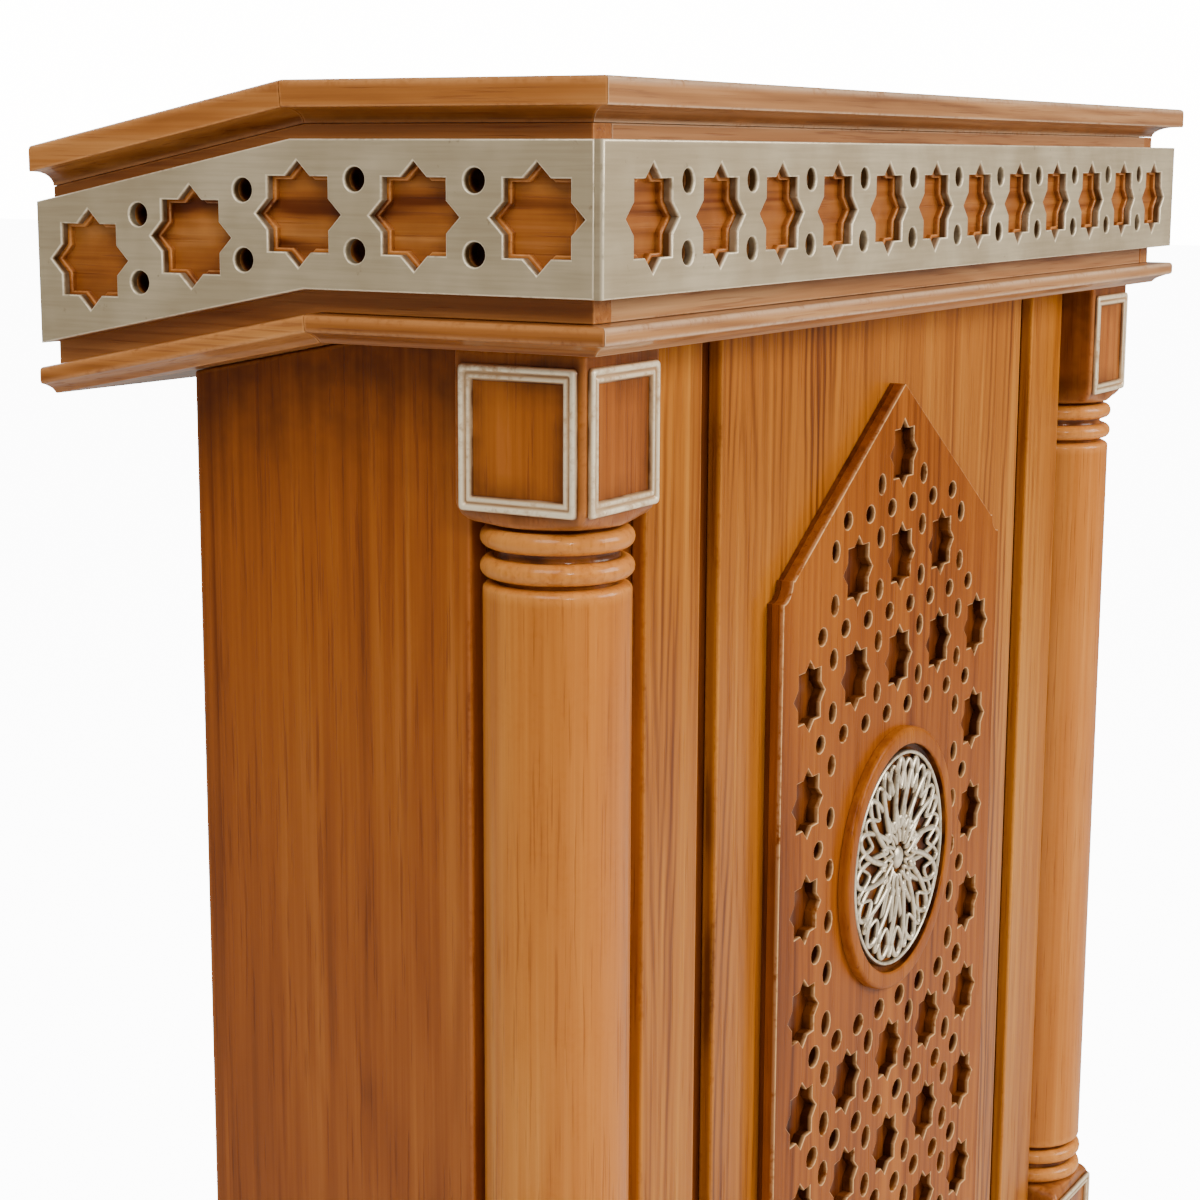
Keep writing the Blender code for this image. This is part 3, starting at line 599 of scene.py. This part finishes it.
# frieze
# starShade and drillShade set how much painted shade the star pockets and the drilled holes take
frieze = {"stars": 12, "sideStars": 5, "margin": 0.055, "sideMargin": 0.042, "starRadius": 0.0304,
          "holeRadius": 0.0070, "holeCorners": 20, "holeSpread": 0.0201, "edge": 0.0011,
          "innerStar": 0.0276, "innerDepth": 0.0040, "drillRadius": 0.0076, "drillDepth": 0.0090,
          "drillCorners": 16, "pocketMargin": 0.0046, "starShade": 0.15, "drillShade": 1.0}
frieze["pitch"] = (2 * band["halfWidth"] - 2 * frieze["margin"]) / (frieze["stars"] - 1)


def friezeHoles(s, centres, between):
    # painted stars and round holes, and the smaller star pockets and drilled holes in the wood behind them
    drilled = [(x, z + up * s["holeSpread"]) for x, z in between for up in (-1, 1)]
    painted = [starLoop(x, z, s["starRadius"]) for x, z in centres]
    painted += [roundLoop(x, z, s["holeRadius"], s["holeCorners"]) for x, z in drilled]
    pockets = [(starLoop(x, z, s["innerStar"]), s["innerDepth"], s["starShade"]) for x, z in centres]
    pockets += [(roundLoop(x, z, s["drillRadius"], s["drillCorners"]), s["drillDepth"], s["drillShade"])
                for x, z in drilled]
    return painted, pockets


def addStrips(s, side, wood, centres, between, outlineOf, place, nearest=None):
    # the painted strip of one side and the wood behind it
    painted, pockets = friezeHoles(s, centres, between)
    if nearest:
        pockets = [(np.maximum(loop, (nearest, 0.0)), depth, paintedShade) for loop, depth, paintedShade in pockets]
    for node, holes, blind, finish, slotName in (
            ("frieze_plate_" + side, painted, (), champagne, "champagne_paint"),
            ("frieze_backing_" + side, (), pockets, wood, "backing_teak")):
        low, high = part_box(node)
        thickness = high[1] - low[1] if side == "front" else high[0] - low[0]
        flat, faces, marks = piercedSurface(outlineOf(low, high), holes, thickness, s["edge"], blind)
        points = np.stack(place(low, high, *flat.T), 1)
        addPiece(node, points, faces, finish, slotName, **marks)


def friezeFront(s):
    low, high = plateLow, plateHigh
    middle = (low[2] + high[2]) / 2
    first = low[0] + s["margin"]
    centres = [(first + k * s["pitch"], middle) for k in range(s["stars"])]
    between = [(first + (k + 0.5) * s["pitch"], middle) for k in range(s["stars"] - 1)]
    addStrips(s, "front", orangeAcross, centres, between,
              lambda a, b: [(a[0], a[2]), (b[0], a[2]), (b[0], b[2]), (a[0], b[2])],
              lambda a, b, x, z, depth: (x, a[1] + depth, z))


def friezeSide(s, side, sign):
    slope, top, height, bend = (band[key] for key in ("slope", "top", "height", "bend"))

    def fall(y):
        return top - max(0.0, y - bend) * math.tan(slope)

    def centre(along):
        past = along - band["levelDepth"]
        y = band["front"] + along if past < 0 else bend + past * math.cos(slope)
        return y, fall(y) - height / 2

    def outline(low, high):
        rear, front = high[1], low[1]
        return [(front, top), (bend, top), (rear, fall(rear)), (rear, fall(rear) - height / math.cos(slope)),
                (bend - height * math.tan(slope / 2), top - height), (front, top - height)]

    centres = [centre(s["sideMargin"] + k * s["pitch"]) for k in range(s["sideStars"])]
    between = [centre(s["sideMargin"] + (k + 0.5) * s["pitch"]) for k in range(s["sideStars"] - 1)]
    addStrips(s, side, orangeDeep, centres, between, outline,
              lambda a, b, y, z, depth: ((b if sign > 0 else a)[0] - sign * depth, y, z),
              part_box("frieze_backing_" + side)[0][1] + s["pocketMargin"])


friezeFront(frieze)
for sign, side in ((-1, "left"), (1, "right")):
    friezeSide(frieze, side, sign)
print("frieze done")


# columns
column = {"rings": 2, "ringHeight": 0.0175, "ringGap": 0.0046, "ringFoot": 0.0008, "bow": 0.75,
          "fillet": 0.010, "grooveDepth": 0.0075, "slip": 0.0015, "steps": 128}
block = {"shoulder": 0.014, "edge": 0.0035, "circle": 0.97, "draw": 0.92, "shade": 0.013, "shadeDepth": 0.55,
         "across": (0.12, 0.18, 0.25, 0.38, 0.5, 0.62, 0.75, 0.82, 0.88),
         "foot": ((0.0, 0.02), (0.0012, 0.006), (0.003, 0.0), (0.006, 0.0)),
         "up": (0.14, 0.2, 0.28, 0.4, 0.6, 0.72, 0.8, 0.86, 0.95),
         "shoulderRows": (0.0, 0.15, 0.35, 0.6, 0.8, 0.93, 1.0)}
blockFrame = {"width": 0.079, "height": 0.085, "cornerRadius": 0.0032, "tighten": 0.35,
              "profile": [(0.0, 0.0), (0.0003, 0.0014), (0.0011, 0.0026), (0.0023, 0.0031), (0.0035, 0.0027),
                          (0.0044, 0.0016), (0.0050, 0.0012), (0.0056, 0.0016), (0.0065, 0.0023), (0.0075, 0.0024),
                          (0.0085, 0.0016), (0.0093, 0.0004), (0.0095, 0.0)]}


def shaftProfile(s, radius, ringRadius, height):
    # from the top: half-round rings with grooves between, a rounded shoulder, the shaft, and the same again
    groove = radius - s["grooveDepth"]
    foot = groove + s["ringFoot"]
    end = [(0.0, 0.0), (groove, 0.0), (groove, -0.0012)]
    bow = np.linspace(0, np.pi, 11)
    for ring in range(s["rings"]):
        top = ring * s["ringHeight"] + s["ringGap"] / 2
        tall = s["ringHeight"] - s["ringGap"]
        end += [(foot + (ringRadius - foot) * math.sin(a) ** s["bow"], -top - tall * (1 - math.cos(a)) / 2)
                for a in bow]
        end += [(groove, -(ring + 1) * s["ringHeight"])]
    below = s["rings"] * s["ringHeight"]
    step = np.linspace(0, np.pi / 2, 6)
    end += [(groove + (radius - groove) * math.sin(a),
             -below - 0.0002 - s["fillet"] * 0.45 * (1 - math.cos(a))) for a in step]
    end += [(radius, -below - s["fillet"]), (radius, -below - s["fillet"] * 2)]
    return np.array(end + [(r, -height - h) for r, h in reversed(end)])


def addShaft(side):
    low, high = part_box("shaft_" + side)
    centre = ((low[0] + high[0]) / 2, (low[1] + high[1]) / 2, high[2])
    ringRadius = (high[0] - low[0]) / 2
    profile = shaftProfile(column, ringRadius - column["slip"], ringRadius, high[2] - low[2])
    points, faces = turnSurface(profile, centre, steps=column["steps"])
    addPiece("shaft_" + side, points, faces, columnTeak, "column_teak", 50, 0.0 if side == "left" else 0.7)


def addBlock(s, node, shaftBelow, seed):
    # the sides of a rounded square draw in to the shaft's circle over the quarter-round shoulder
    low, high = (np.array(v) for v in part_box(node))
    half, middle, tall = (high[0] - low[0]) / 2, (low + high) / 2, high[2] - low[2]
    corner = [(half, half), (-half, half), (-half, -half), (half, -half)]
    ring = roundCorners(corner, [s["edge"]] * 4, 6)
    share = np.array(s["across"])[:, None]
    sides = []
    for k in range(4):
        a, b = ring[k * 9 + 8], ring[((k + 1) * 9) % 36]
        sides += [ring[k * 9:(k + 1) * 9], a + (b - a) * share]
    square = np.concatenate(sides)
    angle = np.arctan2(square[:, 1], square[:, 0])
    circle = half * s["circle"] * np.stack([np.cos(angle), np.sin(angle)], 1)
    levels = list(s["foot"]) + [(up * (tall - s["shoulder"]), 0.0) for up in s["up"]]
    levels += [(tall - s["shoulder"] * (1 - t), (1 - math.sqrt(1 - t ** 2)) * s["draw"])
               for t in s["shoulderRows"]]
    rows = []
    for height, pull in levels:
        flat = square * (1 - pull) + (circle * pull if height > tall / 2 else 0)
        z = high[2] - height if shaftBelow else low[2] + height
        rows.append(np.c_[flat + middle[:2], np.full(len(flat), z)])
    points = np.concatenate(rows)
    count = len(square)
    faces = gridFaces(len(rows), count, closeColumns=True).tolist()
    faces += [list(range(count)), list(range((len(rows) - 1) * count, len(rows) * count))]
    # painted shade along the frames: inside them, and beyond
    frameLow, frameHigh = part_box(node.replace("block", "frame") + "_front")
    off = np.abs(points - (middle[0], middle[1], (frameLow[2] + frameHigh[2]) / 2))
    bar = blockFrame["profile"][-1][0]
    inner = (blockFrame["width"] / 2 - bar, blockFrame["height"] / 2 - bar)
    nearFrame = np.maximum(1 - (inner[0] - np.minimum(off[:, 0], off[:, 1])) / s["shade"],
                           1 - (inner[1] - off[:, 2]) / s["shade"])
    addPiece(node, points, faces, blockTeak, "column_teak", 42, seed,
             hollow=s["shadeDepth"] * np.clip(nearFrame, 0, 1))


def addFrame(node, facing):
    # rounded rectangles of growing inset carry the moulding round four corners
    low, high = (np.array(v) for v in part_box(node))
    middle = (low + high) / 2
    s = blockFrame
    inset, proud = np.array(s["profile"]).T
    loops = []
    for step in inset:
        u, v = s["width"] / 2 - step, s["height"] / 2 - step
        radius = max(s["cornerRadius"] - step * s["tighten"], 0.0006)
        loops.append(roundCorners([(-u, -v), (u, -v), (u, v), (-u, v)], [radius] * 4, 4))
    flat = np.stack(loops)
    lift = np.repeat(proud[:, None], flat.shape[1], axis=1)
    if facing == "front":
        points = np.stack([middle[0] + flat[..., 0], high[1] - lift, middle[2] + flat[..., 1]], -1)
    else:
        base = low[0] if facing > 0 else high[0]
        points = np.stack([base + facing * lift, middle[1] + flat[..., 0], middle[2] + flat[..., 1]], -1)
    # bead crests get a painted highlight; the grooves take the thin colour, wood showing through and painted shade
    crest = np.clip((lift - 0.0016) / 0.0010, 0, 1)
    valley = np.clip((0.0018 - lift) / 0.0012, 0, 1)
    faces = gridFaces(len(inset), flat.shape[1], closeRows=True, closeColumns=True)
    addPiece(node, points.reshape(-1, 3), faces, framePaint, "champagne_paint", 70, rim=crest.ravel(),
             hollow=valley.ravel())


for sign, side in ((-1, "left"), (1, "right")):
    addShaft(side)
    for level, shaftBelow in (("upper", True), ("lower", False)):
        addBlock(block, f"block_{level}_{side}", shaftBelow, 0.2 + 0.3 * sign)
        addFrame(f"frame_{level}_{side}_front", "front")
        addFrame(f"frame_{level}_{side}_side", sign)
print("columns done")


# boards
# reach, strength and fade of the desk's painted shadow on the side panels
overhang = {"reach": 0.13, "strength": 0.62, "steps": 9, "fade": 1.6}
panelLow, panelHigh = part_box("side_panel_left")
panelBend = band["bend"] + (panelHigh[2] - band["top"]) * math.tan(band["slope"] / 2)


def sidePanelWarp(points):
    # the panel's top follows the lower moulding: it falls behind the bend, and the foot stays level
    share = np.clip((points[:, 2] - panelLow[2]) / (panelHigh[2] - panelLow[2]), 0, 1)
    warped = points.copy()
    warped[:, 2] -= share * np.clip(points[:, 1] - panelBend, 0, None) * math.tan(band["slope"])
    return warped


def overhangPaintedShadow(points):
    # painted shadow of the desk's overhang: darkest at the panel's top, and less over the reach below
    below = panelHigh[2] - points[:, 2]
    return overhang["strength"] * np.clip(1 - below / overhang["reach"], 0, 1) ** overhang["fade"]


boards = [  # node, finish, edge radius, grain seed
    ("front_board", frontTeak, 0.0022, 0.05), ("apron_front", acrossTeak, 0.0008, 0.4),
    ("front_stile_left", stileTeak, 0.0022, 0.15), ("front_stile_right", stileTeak, 0.0022, 0.65),
    ("plinth_left", deepTeak, 0.0015, 0.2), ("plinth_right", deepTeak, 0.0015, 0.5),
    ("plinth_front", acrossTeak, 0.0015, 0.6), ("plinth_rear", acrossTeak, 0.0015, 0.8),
    ("base_board", acrossTeak, 0.0055, 0.1), ("rear_top_rail", acrossTeak, 0.0020, 0.9),
    ("rear_bottom_rail", acrossTeak, 0.0020, 1.1)]


def addBoards():
    for values in boards:
        addBoard(*values)
    addBoard("shelf", plainAcross, 0.0015, 0.3, slotName="inner_teak")
    levels = tuple(panelHigh[2] - np.linspace(0.01, overhang["reach"], overhang["steps"]))
    for k, side in enumerate(("left", "right")):
        addBoard("side_panel_" + side, sideTeak, 0.0020, k * 0.4, ((), (panelBend,), levels), sidePanelWarp,
                 paintedShade=overhangPaintedShadow)
        low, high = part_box("apron_" + side)
        flatBox = ((low[0], low[1], band["top"] + lowMoulding["lipTop"] + joint), high)
        addBoard("apron_" + side, deepTeak, 0.0008, 0.5 + k * 0.3, ((), (band["bend"],), ()), followBand,
                 flatBox)


addBoards()
print("boards done")


# carved arch
arch = {"halfWidth": 0.195, "apex": 0.970, "spring": 0.838, "notch": 0.014, "pitch": 0.076, "starRadius": 0.0248,
        "smallHole": 0.0070, "lowerGrowth": 0.22, "smallCorners": 12, "oval": (1.06, 0.90), "limit": 0.178,
        "trim": 0.0005, "leastWidth": 0.022, "margin": 0.008, "bossGap": 0.002, "edge": 0.0008}


def archOutline(s, foot):
    shoulder = s["spring"] + s["notch"]
    bite = np.linspace(np.pi, 1.5 * np.pi, 8)
    right = [(0.0, s["apex"]), (s["halfWidth"] - s["notch"] * 1.2, shoulder)]
    right += [(s["halfWidth"] + s["notch"] * math.cos(a), shoulder + s["notch"] * math.sin(a)) for a in bite]
    right += [(s["halfWidth"], foot)]
    return np.array(right + [(-x, z) for x, z in reversed(right[1:])])


def latticeHoles(s, foot, middleZ, bossRadius):
    # the holes that lie wholly inside the arch's border and clear of the boss
    rise = (s["apex"] - s["spring"] - s["notch"]) / (s["halfWidth"] - s["notch"] * 1.2)
    square = s["margin"] * math.hypot(1, rise)

    def inside(loop):
        x, z = loop.T
        clear = (np.abs(x) < s["limit"]) & (z > foot + s["margin"])
        clear &= np.hypot(x, z - middleZ) > bossRadius + s["bossGap"]
        return np.all(clear & (z < s["apex"] - np.abs(x) * rise - square))

    p, edge = s["pitch"], s["limit"] - s["trim"]
    holes = []
    for i in range(-3, 4):
        for j in range(-7, 6):
            x, z = i * p, middleZ + j * p
            star = starLoop(x, z, s["starRadius"])
            star[:, 0] = np.clip(star[:, 0], -edge, edge)
            if np.ptp(star[:, 0]) > s["leastWidth"] and inside(star):
                holes.append(star)
            for dx, dz, turned in ((0.5, 0.25, 0), (0.5, -0.25, 0), (0.25, 0.5, 1), (-0.25, 0.5, 1)):
                wider = 1.0 + s["lowerGrowth"] * min(1.0, max(0.0, (middleZ - z - dz * p) / bossRadius))
                small = roundLoop(0.0, 0.0, s["smallHole"] * wider, s["smallCorners"])
                small = small * (s["oval"][::-1] if not turned else s["oval"]) + (x + dx * p, z + dz * p)
                if inside(small):
                    holes.append(small)
    return holes


def addArch(s):
    low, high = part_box("lattice_panel")
    discLow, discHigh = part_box("medallion_disc")
    middleZ, bossRadius = (discLow[2] + discHigh[2]) / 2, (discHigh[2] - discLow[2]) / 2
    holes = latticeHoles(s, low[2], middleZ, bossRadius)
    flat, faces, marks = piercedSurface(archOutline(s, low[2]), holes, high[1] - low[1], s["edge"])
    points = np.stack([flat[:, 0], low[1] + flat[:, 2], flat[:, 1]], 1)
    addPiece("lattice_panel", points, faces, latticeTeak, **marks)
    print("lattice holes:", len(holes))
    return middleZ, bossRadius


archMiddle, bossRadius = addArch(arch)


# medallion
medallion = {"recess": 0.086, "recessDepth": 0.0062, "easing": 0.0035, "steps": 144}
rosette = {"reach": 0.0835, "width": 0.0025, "height": 0.0032, "weave": 0.0009, "samples": 480, "around": 14,
           "sunk": 0.25, "lift": 0.0010, "thin": 0.70, "domeReach": 0.11, "domeFoot": 0.0004, "domeRise": 0.0044}


def addBoss(s):
    low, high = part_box("medallion_disc")
    tall, radius = high[1] - low[1], (high[0] - low[0]) / 2
    floor = tall - s["recessDepth"]
    bow = np.linspace(0, np.pi / 2, 6)
    ease = s["easing"]
    profile = [(0.0, 0.0), (radius, 0.0)]
    profile += [(radius - ease * (1 - math.cos(a)), tall - ease * (1 - math.sin(a))) for a in bow]
    profile += [(s["recess"] + ease * 0.5 * (1 - math.sin(a)), tall - ease * 0.5 * (1 - math.cos(a)))
                for a in bow]
    profile += [(s["recess"], floor + 0.0006), (s["recess"] - 0.0008, floor), (0.0, floor)]
    centre = ((low[0] + high[0]) / 2, high[1], (low[2] + high[2]) / 2)
    points, faces = turnSurface(profile, centre, axis="Y", steps=s["steps"])
    # the sunk floor inside the ring is darkened all over: painted shade
    sunk = (np.hypot(points[:, 0] - centre[0], points[:, 2] - centre[2]) < s["recess"] + 1e-5).astype(float)
    addPiece("medallion_disc", points, faces, latticeTeak, sharp=50, seed=0.35, rim=0 * sunk, hollow=sunk)
    return high[1] - floor


def strand(radiusAt, heightAt, width, height, floorY):
    # a half-round ribbon carried round a closed rosette curve in the disc's plane
    t = np.linspace(0, 2 * np.pi, rosette["samples"], endpoint=False)
    r = radiusAt(t)
    path = np.stack([r * np.cos(t), r * np.sin(t)], 1)
    ahead = np.roll(path, -1, axis=0) - np.roll(path, 1, axis=0)
    ahead /= np.linalg.norm(ahead, axis=1, keepdims=True)
    side = np.stack([-ahead[:, 1], ahead[:, 0]], 1)
    a = np.linspace(0, 2 * np.pi, rosette["around"], endpoint=False)
    across, lift = width * np.cos(a), height * np.maximum(np.sin(a), -rosette["sunk"])
    flat = path[:, None] + side[:, None] * across[None, :, None]
    up = heightAt(t)[:, None] + lift[None]
    points = np.stack([flat[..., 0], floorY - up, archMiddle + flat[..., 1]], -1)
    return points.reshape(-1, 3), gridFaces(len(t), len(a), True, True), np.tile(np.sin(a), len(t))


def addRosette(s, floorY):
    reach, amp = s["reach"], s["weave"]
    petal, thin = s["width"], s["width"] * s["thin"]

    def lobes(middle, swing, count, phase=0.0):
        return lambda t: reach * (middle + swing * np.cos(count * t + phase))

    def over(count, sense):
        return lambda t: s["lift"] + sense * amp * np.sin(count * t)

    shapes = [(lobes(0.955, 0.0, 1), over(1, 0), thin),
              (lobes(0.60, 0.31, 8), over(8, 1), petal), (lobes(0.60, 0.31, 8, np.pi), over(8, -1), petal),
              (lobes(0.77, 0.12, 16, np.pi), over(16, 1), thin), (lobes(0.27, 0.11, 8), over(8, -1), thin),
              (lobes(0.27, 0.11, 8, np.pi), over(8, 1), thin)]
    points, faces, rims, count = [], [], [], 0
    for radiusAt, heightAt, width in shapes:
        p, f, rim = strand(radiusAt, heightAt, width, s["height"], floorY)
        points.append(p)
        faces.append(f + count)
        rims.append(rim)
        count += len(p)
    dome = np.linspace(0, np.pi / 2, 9)
    profile = [(0.0, 0.0002)]
    profile += [(reach * s["domeReach"] * math.cos(a), s["domeFoot"] + s["domeRise"] * math.sin(a))
                for a in dome]
    p, f = turnSurface(profile, (0.0, floorY, archMiddle), axis="Y", steps=48)
    points.append(p)
    faces.append(f + count)
    rims.append(np.clip((floorY - p[:, 1]) / s["domeRise"], 0, 1))
    # strand crests get a painted highlight and their low sides painted shade
    crest = np.concatenate(rims)
    addPiece("medallion_rosette", np.concatenate(points), np.concatenate(faces), silverLeaf, "silver_leaf",
             60, rim=np.clip(crest * 1.6 - 0.6, 0, 1), hollow=np.clip(0.9 - crest, 0, 1))


addRosette(rosette, addBoss(medallion))
print("arch and medallion done")


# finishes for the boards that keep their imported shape
keptBoards = {
    darkBackingTeak: ["front_backing", "lattice_backing"],
    topTeak: ["top_board_level", "reading_board"],
    acrossTeak: ["book_stop", "rear_ledge", "apron_rear"],
    plainUp: ["corner_post_left", "corner_post_right"],
    plainAcross: ["desk_floor_level", "desk_floor_slope"],
}
for finish, nodes in keptBoards.items():
    for node in nodes:
        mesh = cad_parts[node].data
        mesh.materials.clear()
        mesh.materials.append(finish)


# floor, light and camera
studio = {"floor": (0.86, 0.85, 0.83), "floorShade": (0.72, 0.71, 0.69), "floorReach": 30, "floorGlow": 12.0,
          "world": (1.0, 0.985, 0.96), "worldStrength": 0.24, "seenStrength": 16.0}
lamps = {  # place, aim, size, power, colour
    "frontKey": ((1.3, -3.2, 2.3), (0, 0, 0.75), (2.2, 1.8), 152.0, (1.0, 0.97, 0.92)),
    "leftTop": ((-2.3, -0.5, 3.1), (-0.3, 0, 0.7), (1.6, 1.6), 58.0, (1.0, 0.98, 0.95)),
    "rearTop": ((0.6, 2.8, 2.8), (0, 0, 0.9), (2.4, 1.8), 40.0, (1.0, 1.0, 1.0)),
    "cornerSpark": ((-2.1, -2.2, 2.1), (-0.4, -0.15, 0.95), (0.45, 0.45), 22.0, (1.0, 0.97, 0.92))}
view = {"eye": (-1.6195, -0.8517, 1.1314), "yaw": 30.25, "pitch": 10.42, "roll": -0.25, "lens": 72.55}


def addFloor(s):
    mesh = bpy.data.meshes.new("studioFloor")
    t = s["floorReach"] * np.linspace(-1, 1, 3)
    x, y = np.meshgrid(t, t, indexing="ij")
    points = np.stack([x, y, 0 * x], -1).reshape(-1, 3)
    mesh.from_pydata(points.tolist(), [], gridFaces(3, 3)[:, ::-1].tolist())
    material, tree, shader, place = newMaterial("paleFloor")
    seen = addNode(tree, "ShaderNodeLightPath").outputs["Is Camera Ray"]
    feed(shader, {"Base Color": mix(times(noise(place, 1.3, 2.0), 0.10), s["floor"], s["floorShade"]),
                  "Roughness": 0.75, "Emission Color": (1, 1, 1),
                  "Emission Strength": times(seen, s["floorGlow"])})
    mesh.materials.append(material)
    addObject("studioFloor", mesh)


def addArea(name, place, aim, size, power, colour):
    light = bpy.data.lights.new(name, "AREA")
    light.shape = "RECTANGLE"
    light.size, light.size_y = size
    light.energy, light.color = power, colour
    lamp = addObject(name, light)
    lamp.location = place
    lamp.rotation_euler = (Vector(aim) - Vector(place)).to_track_quat("-Z", "Y").to_euler()


def addWorld(s):
    world = bpy.data.worlds.new("softDay")
    bpy.context.scene.world = world
    world.use_nodes = True
    tree = world.node_tree
    seen = addNode(tree, "ShaderNodeLightPath").outputs["Is Camera Ray"]
    blend = addNode(tree, "ShaderNodeMix", {0: seen, 2: s["worldStrength"], 3: s["seenStrength"]})
    feed(tree.nodes["Background"], {"Color": s["world"], "Strength": blend.outputs[0]})


def addCamera(s):
    yaw, pitch, roll = (math.radians(s[k]) for k in ("yaw", "pitch", "roll"))
    ahead = Vector((math.cos(yaw) * math.cos(pitch), math.sin(yaw) * math.cos(pitch), -math.sin(pitch)))
    right = Vector((math.sin(yaw), -math.cos(yaw), 0.0))
    down = ahead.cross(right)
    rolledRight = right * math.cos(roll) + down * math.sin(roll)
    rolledDown = -right * math.sin(roll) + down * math.cos(roll)
    lens = bpy.data.cameras.new("viewCamera")
    lens.lens, lens.sensor_width = s["lens"], 36.0
    camera = addObject("viewCamera", lens)
    turned = Matrix((rolledRight, -rolledDown, -ahead)).transposed().to_4x4()
    camera.matrix_world = Matrix.Translation(s["eye"]) @ turned
    bpy.context.scene.camera = camera


addFloor(studio)
addWorld(studio)
for name, values in lamps.items():
    addArea(name, *values)
addCamera(view)
print("studio ready")
